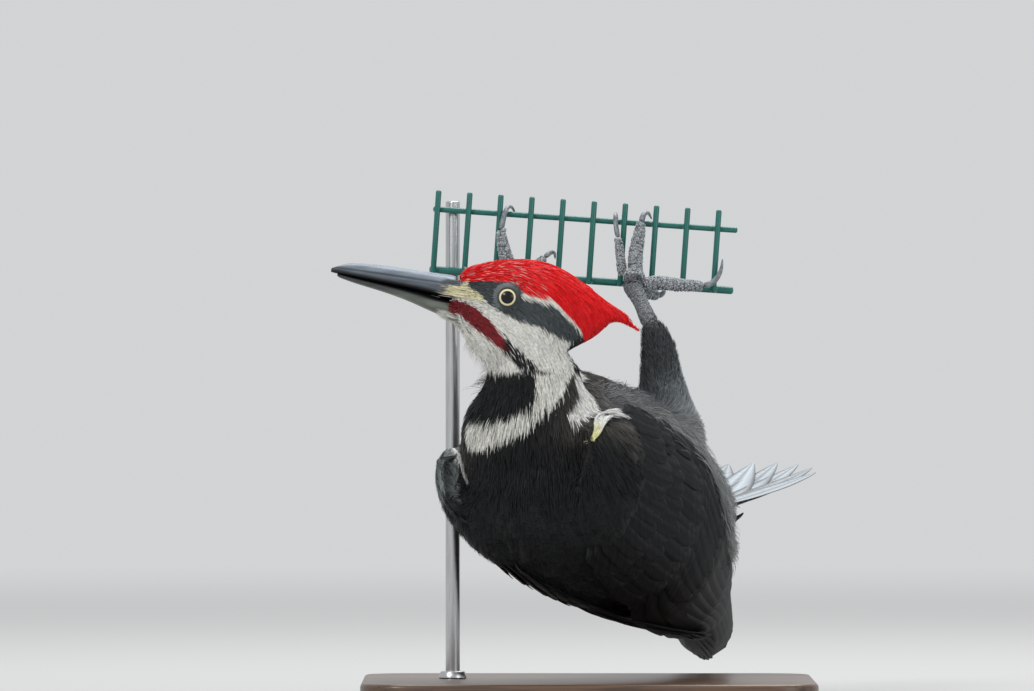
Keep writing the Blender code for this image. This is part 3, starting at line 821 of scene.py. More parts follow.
def build_skin():
    """One skin through head, neck, trunk, thighs and the wings' flesh, inside them by the coat's depth."""
    shape = node_shape(*BODY_NODES)
    for name in WING_NODES:
        add_wing_flesh(shape, name)
    shape.normal_update()
    spots = np.array([vert.co[:] for vert in shape.verts])
    for vert, grown in zip(shape.verts, plumpness(spots)):
        vert.co += vert.normal * grown
    mesh = grown_together(shape, "skin", plumage().skin_detail)
    kept = bmesh.new()
    kept.from_mesh(mesh)
    keep_largest(kept)
    kept.to_mesh(mesh)
    kept.free()
    edges = edges_of(mesh)
    points = relaxed(mesh_points(mesh), edges, 10)
    set_points(mesh, points)
    normals = unit(relaxed(mesh_normals(mesh), edges, 6))
    points = points - normals * (plumpness(points) * 0.92 + coat_depth(points))[:, None]
    points = relaxed(under_wings(relaxed(points, edges, 4)), edges, 2)
    set_points(mesh, points)
    normals = unit(relaxed(mesh_normals(mesh), edges, 4))
    set_vectors(mesh, "lie", lie_of_coat(points, normals, edges))
    set_vectors(mesh, "outward", normals)
    set_marking(mesh, markings(points, np.random.default_rng(plumage().seed)))
    mesh.shade_smooth()
    finish = material("feathered_skin", skin_finish)
    unwrap(add_piece("skin", mesh, finish, BODY_NODES + WING_NODES))


def keep_largest(shape):
    """Keeps the connected shell with the most faces."""
    left, shells = set(shape.faces), []
    while left:
        front = {left.pop()}
        shell = set(front)
        while front:
            front = {other for face in front for edge in face.edges for other in edge.link_faces} & left
            left -= front
            shell |= front
        shells.append(shell)
    loose = [face for shell in sorted(shells, key=len)[:-1] for face in shell]
    bmesh.ops.delete(shape, geom=loose, context="FACES")


def unwrap(piece):
    """A map of the skin's own shape, from which each feather takes its root's place."""
    bpy.ops.object.select_all(action="DESELECT")
    piece.select_set(True)
    bpy.context.view_layer.objects.active = piece
    bpy.ops.object.mode_set(mode="EDIT")
    bpy.ops.mesh.select_all(action="SELECT")
    bpy.ops.uv.smart_project(angle_limit=math.radians(66), island_margin=0.004)
    bpy.ops.object.mode_set(mode="OBJECT")
    piece.data.uv_layers[0].name = "OFBake"


class Skin:
    """The skin's points, lie and map, ready for feathers to be set on it."""

    kept = None

    def __init__(self):
        mesh = bpy.data.objects["skin"].data
        self.points = mesh_points(mesh)
        self.lie = read_vectors(mesh.attributes["lie"].data, "vector")
        self.outward = read_vectors(mesh.attributes["outward"].data, "vector")
        self.depth = coat_depth(self.points)
        mesh.calc_loop_triangles()
        self.triangles = read_rows(mesh.loop_triangles, "vertices", 3, np.int32)
        loops = read_rows(mesh.loop_triangles, "loops", 3, np.int32)
        self.maps = read_vectors(mesh.uv_layers["OFBake"].uv, "vector", 2)[loops]
        self.vertex_maps = np.zeros((len(self.points), 2))
        self.vertex_maps[self.triangles] = self.maps
        a, b, c = (self.points[self.triangles[:, k]] for k in range(3))
        self.areas = np.linalg.norm(np.cross(b - a, c - a), axis=1) / 2
        self.tree = tree_of(self.points)

    @classmethod
    def get(cls):
        if cls.kept is None:
            cls.kept = cls()
        return cls.kept

    def nearest(self, points):
        find = self.tree.find
        return np.array([find(point)[1] for point in points.tolist()])

    def scatter(self, density, rng):
        """Random roots: density is feathers on a square millimetre at each vertex."""
        per_face = density[self.triangles].mean(1) * self.areas / MM**2
        count = rng.poisson(per_face)
        index = np.repeat(np.arange(len(count)), count)
        mix = rng.dirichlet((1, 1, 1), len(index))
        root = (self.points[self.triangles[index]] * mix[:, :, None]).sum(1)
        place = (self.maps[index] * mix[:, :, None]).sum(1)
        vertex = self.triangles[index, mix.argmax(1)]
        return root, vertex, place

    def trace(self, roots, vertex, lengths, steps, turn):
        """Points and normals from each root along the coat's lie, turned aside by an angle."""
        out = self.outward[vertex]
        way = self.lie[vertex]
        way = way * np.cos(turn)[:, None] + np.cross(out, way) * np.sin(turn)[:, None]
        line, normals, spot = [roots], [out], roots
        stride = (lengths / steps)[:, None]
        for _ in range(steps):
            spot = spot + way * stride
            near = self.nearest(spot)
            out_near = self.outward[near]
            offset = spot - self.points[near]
            lift = (offset * out_near).sum(1)
            aside = np.linalg.norm(offset - lift[:, None] * out_near, axis=1)
            held = (aside < HOLD_OF_SKIN)[:, None]
            spot = np.where(held, spot - lift[:, None] * out_near, spot)
            out = np.where(held, unit(out * 0.35 + out_near * 0.65), out)
            bend = flattened(way, out) * 0.5 + flattened(self.lie[near], out) * 0.25
            way = np.where(held, unit(bend), way)
            line.append(spot)
            normals.append(out)
        return np.stack(line, 1), np.stack(normals, 1)


def thinned(points, spacing, rng):
    """Indices of points kept so that no two are nearer than the spacing (metres, one per point)."""
    cells = np.floor(points / float(spacing.max())).astype(int)
    around = list(product((-1, 0, 1), repeat=3))
    grid, kept = {}, []
    for index in rng.permutation(len(points)):
        x, y, z = cells[index]
        near = [other for dx, dy, dz in around for other in grid.get((x + dx, y + dy, z + dz), ())]
        gaps = points[near] - points[index]
        if not near or (gaps * gaps).sum(1).min() >= spacing[index] ** 2:
            grid.setdefault((x, y, z), []).append(index)
            kept.append(index)
    return np.array(kept)


def mesh_from(name, points, faces, colours, maps, vane_maps=None):
    """Mesh of many like shapes: points (n, v, 3), faces (f, 3 or 4), colours (n, v, 3), maps (n, v, 2)."""
    count, size = points.shape[:2]
    mesh = bpy.data.meshes.new(name)
    mesh.vertices.add(count * size)
    mesh.vertices.foreach_set("co", points.astype(np.float32).ravel())
    sides = [len(face) for face in faces]
    flat = np.concatenate([np.asarray(face) for face in faces])
    loops = (flat[None, :] + (np.arange(count) * size)[:, None]).ravel()
    totals = np.tile(np.array(sides), count)
    starts = np.concatenate([[0], np.cumsum(totals)[:-1]])
    mesh.loops.add(len(loops))
    mesh.polygons.add(len(totals))
    mesh.loops.foreach_set("vertex_index", loops.astype(np.int32))
    mesh.polygons.foreach_set("loop_start", starts.astype(np.int32))
    mesh.polygons.foreach_set("use_smooth", np.ones(len(totals), bool))
    mesh.update(calc_edges=True)
    set_marking(mesh, colours.reshape(-1, 3))
    for label, values in (("OFBake", maps), ("vane", vane_maps)):
        if values is not None:
            layer = mesh.uv_layers.new(name=label)
            layer.uv.foreach_set("vector", values.reshape(-1, 2)[loops].astype(np.float32).ravel())
    mesh.validate()
    return mesh


MOST_TRIANGLES = 190_000


def add_coat(name, coat, finish):
    """Adds the feathers as pieces, each under MOST_TRIANGLES triangles."""
    points, faces, colours, maps = coat
    count = len(points)
    each = sum(len(face) - 2 for face in faces)
    pieces = max(1, math.ceil(count / (MOST_TRIANGLES // each)))
    for k in range(pieces):
        part = slice(k * count // pieces, (k + 1) * count // pieces)
        label = name if pieces == 1 else f"{name}_{k + 1}"
        add_piece(label, mesh_from(label, points[part], faces, colours[part], maps[part]), finish)


# Size of a small feather's patch on the skin's map, and how far its edges bend down in half widths
PATCH = 0.003
VANE_CAMBER = 0.22


def strand_shapes(line, normals, widths, heights, roll, colours, maps, tip_colours):
    """Thin tapering strands: rows of two points and a tip; widths and heights by row."""
    count, rows = line.shape[:2]
    across = unit(np.cross(normals, np.gradient(line, axis=1)))
    tilted = across * np.cos(roll)[:, None, None] + normals * np.sin(roll)[:, None, None]
    centre = line + normals * heights[:, :, None]
    half = widths[:, None] * (np.linspace(1, 0, rows) ** 0.7)[None, :] / 2
    reach = tilted * half[:, :, None]
    pairs = np.stack([(centre - reach)[:, :-1], (centre + reach)[:, :-1]], 2).reshape(count, -1, 3)
    points = np.concatenate([pairs, centre[:, -1:]], 1)
    faces = [(2 * k, 2 * k + 1, 2 * k + 3, 2 * k + 2) for k in range(rows - 2)]
    faces.append((2 * rows - 4, 2 * rows - 3, 2 * rows - 2))
    share = np.append(np.repeat(np.linspace(0, 1, rows)[:-1], 2), 1.0)
    colour = colours[:, None, :] + (tip_colours - colours)[:, None, :] * share[None, :, None]
    sides = np.append(np.tile((0.0, 1.0), rows - 1), 0.5)
    patch = np.stack([sides - 0.5, share - 0.5], 1) * PATCH
    return points, faces, colour, maps[:, None, :] + patch[None]


def laid_strands(line, normals, width, roll, colours, maps, tip_colours, rng):
    """Strands of varied width and roll along lines that already have their height."""
    count, rows = line.shape[:2]
    widths = width * rng.uniform(0.7, 1.2, count)
    rolls = rng.normal(0, roll, count)
    return strand_shapes(line, normals, widths, np.zeros((count, rows)), rolls, colours, maps, tip_colours)


def joined(sets):
    """Several sets of like feathers as one set of points, faces, colours and maps."""
    points, colours, maps = (np.concatenate([made[k] for made in sets]) for k in (0, 2, 3))
    return points, sets[0][1], colours, maps


def vane_template(barbs, rng):
    """A small feather: barbs on both sides of a shaft, as strips of (across, along, shade).

    Across is in half widths, along runs from 0 at the root to 1 at the tip.
    """
    points, faces = [], []
    breadth = 0.62 * 0.80 / (barbs - 1)
    for side in (-1, 1):
        for k in range(barbs):
            start = 0.10 + 0.80 * k / (barbs - 1) + rng.normal(0, 0.006)
            reach = math.sin(math.pi * min(start * 0.62 + 0.18, 1)) ** 0.8 * rng.uniform(0.88, 1.08)
            ahead = 0.16 * (0.7 + 0.5 * start) * rng.uniform(0.85, 1.15)
            near, middle = side * 0.02, side * reach * 0.55
            bend = start + ahead * 0.45
            base = len(points)
            points += [(near, start, 0.0), (near, start + 1.5 * breadth, 0.0),
                       (middle, bend - breadth * 0.6, 0.5), (middle, bend + breadth * 0.8, 0.5),
                       (side * reach, min(start + ahead, 1.06), 1.0)]
            strip = [(base, base + 1, base + 3, base + 2), (base + 2, base + 3, base + 4)]
            faces += [face if side > 0 else face[::-1] for face in strip]
    return np.array(points, float), faces


def vane_shapes(line, normals, widths, heights, template, colours, maps, edge_colours):
    """Sets the feather template along each traced line."""
    points_t, faces = template
    across_t, along_t, out_t = points_t.T
    last = line.shape[1] - 1
    at = np.clip(along_t, 0, 1) * last
    low = np.minimum(at.astype(int), last - 1)
    mix = (at - low)[None, :, None]
    centre = line[:, low] * (1 - mix) + line[:, low + 1] * mix
    out = unit(normals[:, low] * (1 - mix) + normals[:, low + 1] * mix)
    step = line[:, low + 1] - line[:, low]
    centre = centre + step * (np.maximum(along_t - 1, 0) * last)[None, :, None]
    across = unit(np.cross(out, step))
    rise = heights[:, low] * (1 - mix[..., 0]) + heights[:, low + 1] * mix[..., 0]
    half = widths[:, None] / 2
    drop = VANE_CAMBER * (across_t**2)[None, :] * half
    points = centre + across * (across_t[None, :] * half)[..., None] + out * (rise - drop)[..., None]
    # colour runs from the shaft and root to the barb ends and tip, between the painted shade and painted
    # highlight that the callers give
    shade = (out_t * 0.6 + np.clip(along_t, 0, 1) * 0.4)[None, :, None]
    colour = colours[:, None, :] + (edge_colours - colours)[:, None, :] * shade
    patch = np.stack([across_t * 0.5, np.clip(along_t, 0, 1) - 0.5], 1) * PATCH
    return points, faces, colour, maps[:, None, :] + patch[None]


# ---------------------------------------------------------------- coat


def head_zone(points):
    """How much of each point belongs to the head (1) rather than the neck and body (0)."""
    _, crown, _ = in_head(points)
    return smooth_step(-37, -28, crown) * (points[:, 2] > 0.126)


def neck_zone(points):
    """How much of each point belongs to the neck, from the head down to the shoulders."""
    _, crown, _ = in_head(points)
    high = smooth_step(80, 96, points[:, 2] / MM)
    return smooth_step(-22, -30, crown) * smooth_step(34, 0, along_trunk(points)) * high


def from_eye(back, crown):
    """Distance from the middle of the eye as seen from the side, in mm."""
    return np.hypot(back - EYE_BACK, crown - EYE_HEIGHT)


def featherless(points):
    """True where no feather grows: round the eyes and over the bill."""
    back, crown, side = in_head(points)
    return ((from_eye(back, crown) < 4.75) & (np.abs(side) > 6)) | (back < -4.5) & (points[:, 2] > 0.15)


def strands(skin, density, length_of, width, rng, steps=3, lift=1.0, roll=0.7, tip=1.25, turn=0.12,
            tone=(0.78, 1.12), base=0.75):
    """A coat of thin strands over part of the skin."""
    root, vertex, place = skin.scatter(density, rng)
    grows = ~featherless(root)
    root, vertex, place = root[grows], vertex[grows], place[grows]
    count = len(root)
    lengths = length_of(root) * rng.uniform(0.75, 1.2, count)
    line, out = skin.trace(root, vertex, lengths, steps, rng.normal(0, turn, count))
    depth = skin.depth[vertex] * lift
    t = np.linspace(0, 1, steps + 1)
    top = rng.uniform(0.45, 1.05, count)
    heights = depth[:, None] * top[:, None] * (1 - (1 - t) ** 1.8)[None, :] - 0.15 * MM * (1 - t)[None, :]
    colours = markings(line[:, (steps + 1) // 2], rng) * rng.uniform(*tone, count)[:, None]
    widths = width * rng.uniform(0.7, 1.25, count)
    rolls = rng.normal(0, roll, count)
    # base paints the strands' roots darker, as painted shade deep in the coat, and tip paints their ends
    # lighter, as painted highlight
    tips = np.minimum(colours * tip, 0.95)
    return strand_shapes(line, out, widths, heights, rolls, colours * base, place, tips)


def constant(value):
    """The same length at all points, given in mm."""
    return lambda points: np.full(len(points), value * MM)


def growing(start, more):
    """A length that grows from the shoulders over 90 mm of trunk, given in mm."""
    return lambda points: (start + more * smooth_step(0, 90, along_trunk(points))) * MM


def face_length(points):
    """Length of the head's feathers: short on the face and at the eyes, long on the crest."""
    back, crown, _ = in_head(points)
    length = 2.0 + 2.6 * smooth_step(2, 22, back)
    red = crown > border(RED_BORDER, back)
    length = np.where(red, 3.5 + 6.5 * smooth_step(5, 45, back) - 6.0 * smooth_step(52, 66, back), length)
    length = np.where((crown < -12) & (back < 35), 4.8, length)
    eye_gap = from_eye(back, crown)
    ahead_of_eye = (back < EYE_BACK + 3.5) & (eye_gap < 10)
    length = np.where(ahead_of_eye, np.minimum(length, np.maximum(eye_gap - 4.1, 0.7)), length)
    return length * MM


def eye_ring_tufts(skin, rng):
    """Tiny feathers that spread from the eyelids' outer edge over the bare ring: paler in front."""
    count, steps = 620, 3
    grey = np.array(plumage().grey)
    t = np.linspace(0, 1, steps + 1)
    arch = 0.25 * MM * np.sin(math.pi * t)
    made = []
    for side in (-1, 1):
        centre, way = eye_place(side)
        turn = rng.uniform(0, 2 * math.pi, count)
        spread = BILLWARD * np.cos(turn)[:, None] + CROWN * np.sin(turn)[:, None]
        near = rng.uniform(4.1, 5.0, count)
        far = near + rng.uniform(1.4, 2.6, count)
        root = centre + spread * near[:, None] * MM + way * (3.75 - 0.75 * (near - 3.6))[:, None] * MM
        vertex = skin.nearest(centre + spread * far[:, None] * MM + way * 2.4 * MM)
        tip = skin.points[vertex] + skin.outward[vertex] * (0.8 * MM)
        line = root[:, None] + (tip - root)[:, None] * t[None, :, None] + way * arch[None, :, None]
        pale = 0.8 * smooth_step(0.1, 0.8, np.cos(turn)) + 0.35 * smooth_step(0.2, 0.8, np.sin(turn))
        colours = grey + (grey * 2.6 - grey) * pale[:, None]
        colours = colours * rng.uniform(0.7, 1.2, count)[:, None]
        normals = np.repeat(unit(skin.outward[vertex] + way)[:, None], steps + 1, 1)
        maps = skin.vertex_maps[vertex]
        # the tips are painted a little lighter, as painted highlight
        made.append(laid_strands(line, normals, 0.26 * MM, 0.5, colours, maps, colours * 1.15, rng))
    return joined(made)


# Bristly tufts over the bill's root: distances behind it and above its axis, lengths, colour and its
# shades, count on each side
BILL_TUFTS = (
    ((-1.5, 6), (0.6, 4.2), (3.5, 7), "cream", (), 380),
    ((-4, 1), (0.8, 5.0), (4, 9), "white", (0.16, 0.5), 150),
    ((-4, 2), (4.0, 7.2), (3, 8.5), "grey", (1, 4), 260),
    ((-3.5, 2), (-9.5, -4.0), (1.5, 3.0), "malar", (), 110),
    ((-3.5, 3), (-13, -8.0), (4, 8.5), "chin", (), 300),
)


def bill_base_tufts(skin, rng):
    """Tufts that lie forward over the bill's root: grey above, cream at the nostrils, pale on the chin."""
    s = plumage()
    dyes = {key: getattr(s, key) for key in ("cream", "white", "grey", "malar")}
    dyes["chin"] = darker(s.white, 0.8)
    rows = []
    for side in (-1, 1):
        for backs, crowns, lengths, dye, shades, count in BILL_TUFTS:
            for _ in range(count):
                spot = (rng.uniform(*backs), rng.uniform(*crowns), side, rng.uniform(*lengths))
                rows.append((*spot, *darker(dyes[dye], rng.uniform(*shades) if shades else 1.0)))
    back, crown, sign, length, *colours = np.array(rows).T
    aim = (BILL_ROOT - BILLWARD * back[:, None] * MM + CROWN * crown[:, None] * MM
           + HEAD_LEFT * (sign * 6.5)[:, None] * MM)
    vertex = skin.nearest(aim)
    root = aim + (skin.points[vertex] - aim) * 0.85
    count, steps = len(root), 5
    t = np.linspace(0, 1, steps + 1)
    root_back, root_crown, root_side = in_head(root)
    far = length[:, None] * t[None, :]
    taper = 1 - 0.012 * far
    ahead = -root_back[:, None] + far
    rise = root_crown[:, None] * taper + rng.normal(0, 0.05, count)[:, None] * far
    swell = 0.35 + 0.5 * np.sin(math.pi * t * 0.9) * rng.uniform(0.3, 1.3, count)[:, None]
    out = (root_side[:, None] + np.sign(root_side)[:, None] * swell) * taper
    line = (BILL_ROOT + BILLWARD * ahead[..., None] * MM + CROWN * rise[..., None] * MM
            + HEAD_LEFT * out[..., None] * MM)
    normals = unit(CROWN * rise[..., None] * 0.6 + HEAD_LEFT * out[..., None])
    colours = np.stack(colours, 1) * rng.uniform(0.7, 1.15, count)[:, None]
    maps = skin.vertex_maps[vertex]
    # the roots are painted darker, as painted shade, and the tips lighter, as painted highlight
    tips = np.minimum(colours * 1.2, 0.95)
    return laid_strands(line, normals, 0.34 * MM, 0.8, colours * 0.8, maps, tips, rng)


class WOODPECKER_OT_skin(bpy.types.Operator):
    """Makes the skin under the plumage, with its markings and the lie of its coat"""
    bl_idname = "woodpecker.skin"
    bl_label = "Skin"

    def execute(self, context):
        build_skin()
        return {"FINISHED"}


class WOODPECKER_OT_head_coat(bpy.types.Operator):
    """Sets the fine feathers of the head, crest and neck"""
    bl_idname = "woodpecker.head_coat"
    bl_label = "Head and neck feathers"

    def execute(self, context):
        skin = Skin.get()
        rng = np.random.default_rng(plumage().seed + 1)
        zone = head_zone(skin.points)
        back, crown, _ = in_head(skin.points)
        red = (crown > border(RED_BORDER, back) + 0.3) | (back > 60)
        pale_finish = material("head_feathers", feather_finish, 0.6, 0.15, (0.9, 0.95, 1.0))
        red_finish = material("red_feathers", feather_finish, 0.42, 0.1, (1.0, 0.5, 0.45))
        dense = plumage().head_density
        # tip and base set each coat's painted highlight at the strands' ends and painted shade at their roots
        coat = strands(skin, zone * ~red * dense * 0.88, face_length, 0.40 * MM, rng, tone=(0.84, 1.1),
                       base=0.82)
        add_coat("coat_face", coat, pale_finish)
        throat = zone * smooth_step(-13, -17, crown) * (back < 24) * 0.9
        coat = strands(skin, throat, lambda p: rng.uniform(3.5, 7.5, len(p)) * MM, 0.24 * MM, rng, steps=4,
                       lift=4.5, turn=0.7, tone=(0.6, 1.0))
        add_coat("coat_throat", coat, pale_finish)
        coat = strands(skin, zone * red * dense * 0.66, face_length, 0.44 * MM, rng, steps=4, lift=1.2,
                       turn=0.07, tip=1.1, tone=(0.9, 1.08), base=0.9)
        add_coat("coat_crown", coat, red_finish)
        coat = strands(skin, neck_zone(skin.points) * 2.9, constant(7.5), 0.55 * MM, rng, steps=4, turn=0.14)
        add_coat("coat_neck", coat, pale_finish)
        add_coat("coat_eye_ring", eye_ring_tufts(skin, rng), pale_finish)
        add_coat("coat_bill_base", bill_base_tufts(skin, rng), pale_finish)
        return {"FINISHED"}


def contour_layer(skin, share, spacing, length, width, rng, barbs=9, sown=0.35):
    """Evenly spread body feathers; sown is how many are tried on a square millimetre of skin."""
    root, vertex, place = skin.scatter(share * sown, rng)
    kept = thinned(root, spacing(root), rng)
    root, vertex, place = root[kept], vertex[kept], place[kept]
    count, steps = len(root), 5
    lengths = length(root) * rng.uniform(0.9, 1.12, count)
    line, out = skin.trace(root, vertex, lengths, steps, rng.normal(0, 0.10, count))
    depth = skin.depth[vertex]
    t = np.linspace(0, 1, steps + 1)
    top = rng.uniform(0.5, 1.0, count)
    heights = depth[:, None] * (top[:, None] * (1 - (1 - t) ** 2)[None, :]) - 0.2 * MM * (1 - t)[None, :]
    colours = markings(line[:, 3], rng) * rng.uniform(0.8, 1.2, count)[:, None]
    widths = width(root) * rng.uniform(0.9, 1.1, count)
    kinds = rng.integers(0, 3, count)
    made = []
    for kind in range(3):
        template = vane_template(barbs, rng)
        pick = kinds == kind
        # barb ends and tips are painted lighter, as painted highlight; shaft and root darker, as painted
        # shade under the feathers over them
        edges = np.minimum(colours[pick] * 1.5, 0.9)
        made.append(vane_shapes(line[pick], out[pick], widths[pick], heights[pick], template,
                                colours[pick] * 0.8, place[pick], edges))
    return joined(made)


def flight_share(points):
    """Which points lie under the large wing feathers (1), or on the cut end of the wing's flesh (1)."""
    place, share, radius = on_wing(points)
    upper = np.where(place < 105, 0.84, 0.99)
    covered = (place > 30) & (share > -0.02) & (share < upper) & (radius > 0.90)
    flesh_end = (place > 112) & (place < 125) & (share > -0.04) & (share < 0.99) & (radius > 0.66)
    return (covered | flesh_end).astype(float)


def evened(rows, rounds):
    """Rows drawn towards their neighbours, with the first and last left in place."""
    rows = rows.copy()
    for _ in range(rounds):
        rows[1:-1] = (rows[:-2] + 2 * rows[1:-1] + rows[2:]) / 4
    return rows


def read_along(run, knots, rows):
    """Rows read off at shares of the way along them."""
    return np.stack([np.interp(run, knots, column) for column in rows.T], -1)


def line_on_skin(skin, stations, knots):
    """A smooth line through stations, brought down to the skin, and the normals along it."""
    stations = world(stations)
    line = read_along(knots, np.linspace(0, 1, len(stations)), stations)
    line[1:-1] += (line[:-2] - 2 * line[1:-1] + line[2:]) * 0.5
    vertex = skin.nearest(line)
    out = unit(evened(skin.outward[vertex], 40))
    line = evened(line, 40)
    line = line - ((line - skin.points[vertex]) * out).sum(1)[:, None] * out
    return evened(line, 20), out


def edge_tufts(skin, rng):
    """Fine feathers laid along the wings' front edges."""
    made = []
    knots = np.linspace(0, 1, 61)
    steps = 5
    for stations, reach, stand_off, near_colour, far_colour, length, count in EDGE_LINES:
        line, out = line_on_skin(skin, stations, knots)
        across = unit(np.cross(out, np.gradient(line, axis=0)))
        span = length * MM / np.linalg.norm(np.diff(line, axis=0), axis=1).sum()
        run = rng.uniform(0, 1, count)[:, None] + span * (np.linspace(0, 1, steps + 1) - 0.35)[None, :]
        aside = rng.uniform(-1, 1, count)
        half = reach[0] + (reach[1] - reach[0]) * np.clip(run, 0, 1)
        rise = rng.uniform(*stand_off, count)[:, None] + np.linspace(-0.4, 0.35, steps + 1)
        rows = read_along(run, knots, line)
        rows = rows + read_along(run, knots, across) * (half * aside[:, None] * MM)[:, :, None]
        beyond = np.clip(run - 1, 0, None) + np.clip(run, None, 0)
        heading = (line[-1] - line[-4]) / (knots[-1] - knots[-4])
        rows = rows + heading[None, None, :] * (beyond * 0.8)[:, :, None]
        spot = skin.nearest(rows.reshape(-1, 3))
        normal = skin.outward[spot].reshape(rows.shape)
        lift = ((rows - skin.points[spot].reshape(rows.shape)) * normal).sum(2)
        rows = rows + normal * (rise * MM - lift)[:, :, None]
        rows = evened(rows.swapaxes(0, 1), 1).swapaxes(0, 1)
        share = smooth_step(0.68, 0.92, run[:, 0] + span * 0.3)[:, None]
        colours = np.array(near_colour) * (1 - share) + np.array(far_colour) * share
        colours = colours * rng.uniform(0.75, 1.08, count)[:, None]
        maps = skin.vertex_maps[skin.nearest(rows[:, 0])]
        # the roots are painted darker, as painted shade, and the tips lighter, as painted highlight
        tips = np.minimum(colours * 1.12, 0.9)
        made.append(laid_strands(rows, normal, 0.46 * MM, 0.25, colours * 0.8, maps, tips, rng))
    return joined(made)


def flank_down(skin, count, rng):
    """Loose grey down that rises from the flanks and lies over the wings' lower edges."""
    made = []
    steps = 6
    t = np.linspace(0, 1, steps + 1)
    for side in (-1, 1):
        place = rng.uniform(14, 124, count)
        share = rng.normal(-0.17, 0.07, count)
        length = rng.uniform(6, 13, count) * smooth_step(140, 110, place)
        ahead = place[:, None] + length[:, None] * t
        across = share[:, None] + rng.normal(0.04, 0.05, count)[:, None] * t
        top = rng.uniform(2.0, 5.6, count) * smooth_step(0, 30, place)
        rise = -1.0 + (top[:, None] + 1.0) * np.sin(math.pi * np.clip(t * 0.62, 0, 1))
        line, outer = (wing_point(side, ahead, across, rise + more) for more in (0, 1))
        # the flank grey is partly painted highlight
        shade = rng.uniform(0.5, 1.1, count) * (0.7 + 0.3 * smooth_step(20, 60, place))
        grey = np.array(FLANK_GREY_AND_HIGHLIGHT) * shade[:, None]
        maps = skin.vertex_maps[skin.nearest(line[:, 0])]
        # the roots are painted darker, as painted shade, and the tips lighter, as painted highlight
        tips = np.minimum(grey * 1.9, 0.8)
        made.append(laid_strands(line, unit(outer - line), 0.3 * MM, 0.9, grey * 0.8, maps, tips, rng))
    return joined(made)


class WOODPECKER_OT_body_coat(bpy.types.Operator):
    """Sets the contour feathers of the body and thighs, and the down between them"""
    bl_idname = "woodpecker.body_coat"
    bl_label = "Body feathers"

    def execute(self, context):
        skin = Skin.get()
        rng = np.random.default_rng(plumage().seed + 2)
        body = (1 - head_zone(skin.points)) * (1 - smooth_step(0.75, 0.95, neck_zone(skin.points)))
        body *= 1 - flight_share(skin.points)
        thigh, _ = thigh_share(skin.points)
        gap = plumage().body_spacing
        dark_finish = material("body_feathers", feather_finish, 0.6, 0.07, (0.8, 0.9, 0.95))
        grey_finish = material("thigh_feathers", feather_finish, 0.6, 0.25, (0.8, 0.9, 1.0))
        coat = contour_layer(skin, body * (1 - thigh),
                             lambda p: gap * (0.75 + 0.35 * smooth_step(0, 80, along_trunk(p))),
                             growing(9, 6), growing(6.5, 2.5), rng)
        add_coat("coat_body", coat, dark_finish)
        thigh_coat = contour_layer(skin, thigh, constant(2.0), constant(6.5), constant(4.0), rng, 7, 1.0)
        # tip and base set each coat's painted highlight at the strands' ends and painted shade at their roots
        down = strands(skin, body * 1.22, growing(6, 3), 0.32 * MM, rng, steps=4, lift=1.15, roll=0.9,
                       tip=1.5, turn=0.22)
        add_coat("coat_down", down, dark_finish)
        flank = flank_share(skin.points) * (1 - thigh)
        down = strands(skin, flank * 2.3, constant(10), 0.34 * MM, rng, steps=5, lift=1.7, roll=1.0, tip=1.9,
                       turn=0.3)
        add_coat("coat_flank", down, grey_finish)
        add_coat("coat_flank_edge", flank_down(skin, 2600, rng), grey_finish)
        add_coat("coat_wing_edge", edge_tufts(skin, rng), dark_finish)
        below_heel = smooth_step(0.158, 0.152, skin.points[:, 2])
        down = strands(skin, thigh * below_heel * 3.2, constant(5.5), 0.34 * MM, rng, steps=4, lift=1.6,
                       roll=0.9, tip=2.2, turn=0.32, tone=(0.6, 1.3))
        add_coat("coat_thigh_down", down, grey_finish)
        add_coat("coat_thighs", thigh_coat, grey_finish)
        return {"FINISHED"}


# ---------------------------------------------------------------- wings and tail


# Rows of points along a large feather, and points across each of its faces
ROWS = 40
ACROSS = np.linspace(-1, 1, 7)
VANE_THICKNESS = 0.22 * MM
SHAFT_HEIGHT = 0.35 * MM
# How far a wing feather's root is sunk, in mm, and the size of a large feather's patch on the map
ROOT_DIP = 2.2
QUILL_PATCH = (0.03, 0.16)


def quill_points(line, out, reach, camber):
    """Closed feather: rings of points round the vane, from the root to the tip."""
    side = unit(np.cross(out, np.gradient(line, axis=0)))
    ridge = SHAFT_HEIGHT * (np.abs(ACROSS) < 1e-6) * (1 - 0.75 * np.arange(ROWS) / ROWS)[:, None]
    sag = camber * np.abs(reach) * np.abs(ACROSS)
    body = VANE_THICKNESS / 2 + ridge
    middle = line[:, None] + side[:, None] * reach[..., None]
    upper, lower = (middle + out[:, None] * (face * body - sag)[..., None] for face in (1, -1))
    return np.concatenate([upper, lower[:, ::-1]], 1)


def ring_faces(rows, size):
    """Faces between rings of points, closed at both ends."""
    faces = []
    for k in range(rows - 1):
        for i in range(size):
            j = (i + 1) % size
            faces.append((k * size + i, (k + 1) * size + i, (k + 1) * size + j, k * size + j))
    faces.append(tuple(range(size)))
    faces.append(tuple(reversed(range((rows - 1) * size, rows * size))))
    return faces


def feather_outline(width, tip_start, tip_power, root=0.25, roundness=0.5):
    """Half width along a feather: a narrow root, full by a third, then drawn in to its tip."""
    t = np.linspace(0, 1, ROWS)
    grow = root + (1 - root) * smooth_step(0, 0.3, t)
    close = np.clip((t - tip_start) / (1 - tip_start), 0, 1)
    return width * grow * np.clip(1 - close**tip_power, 0.0, 1) ** roundness


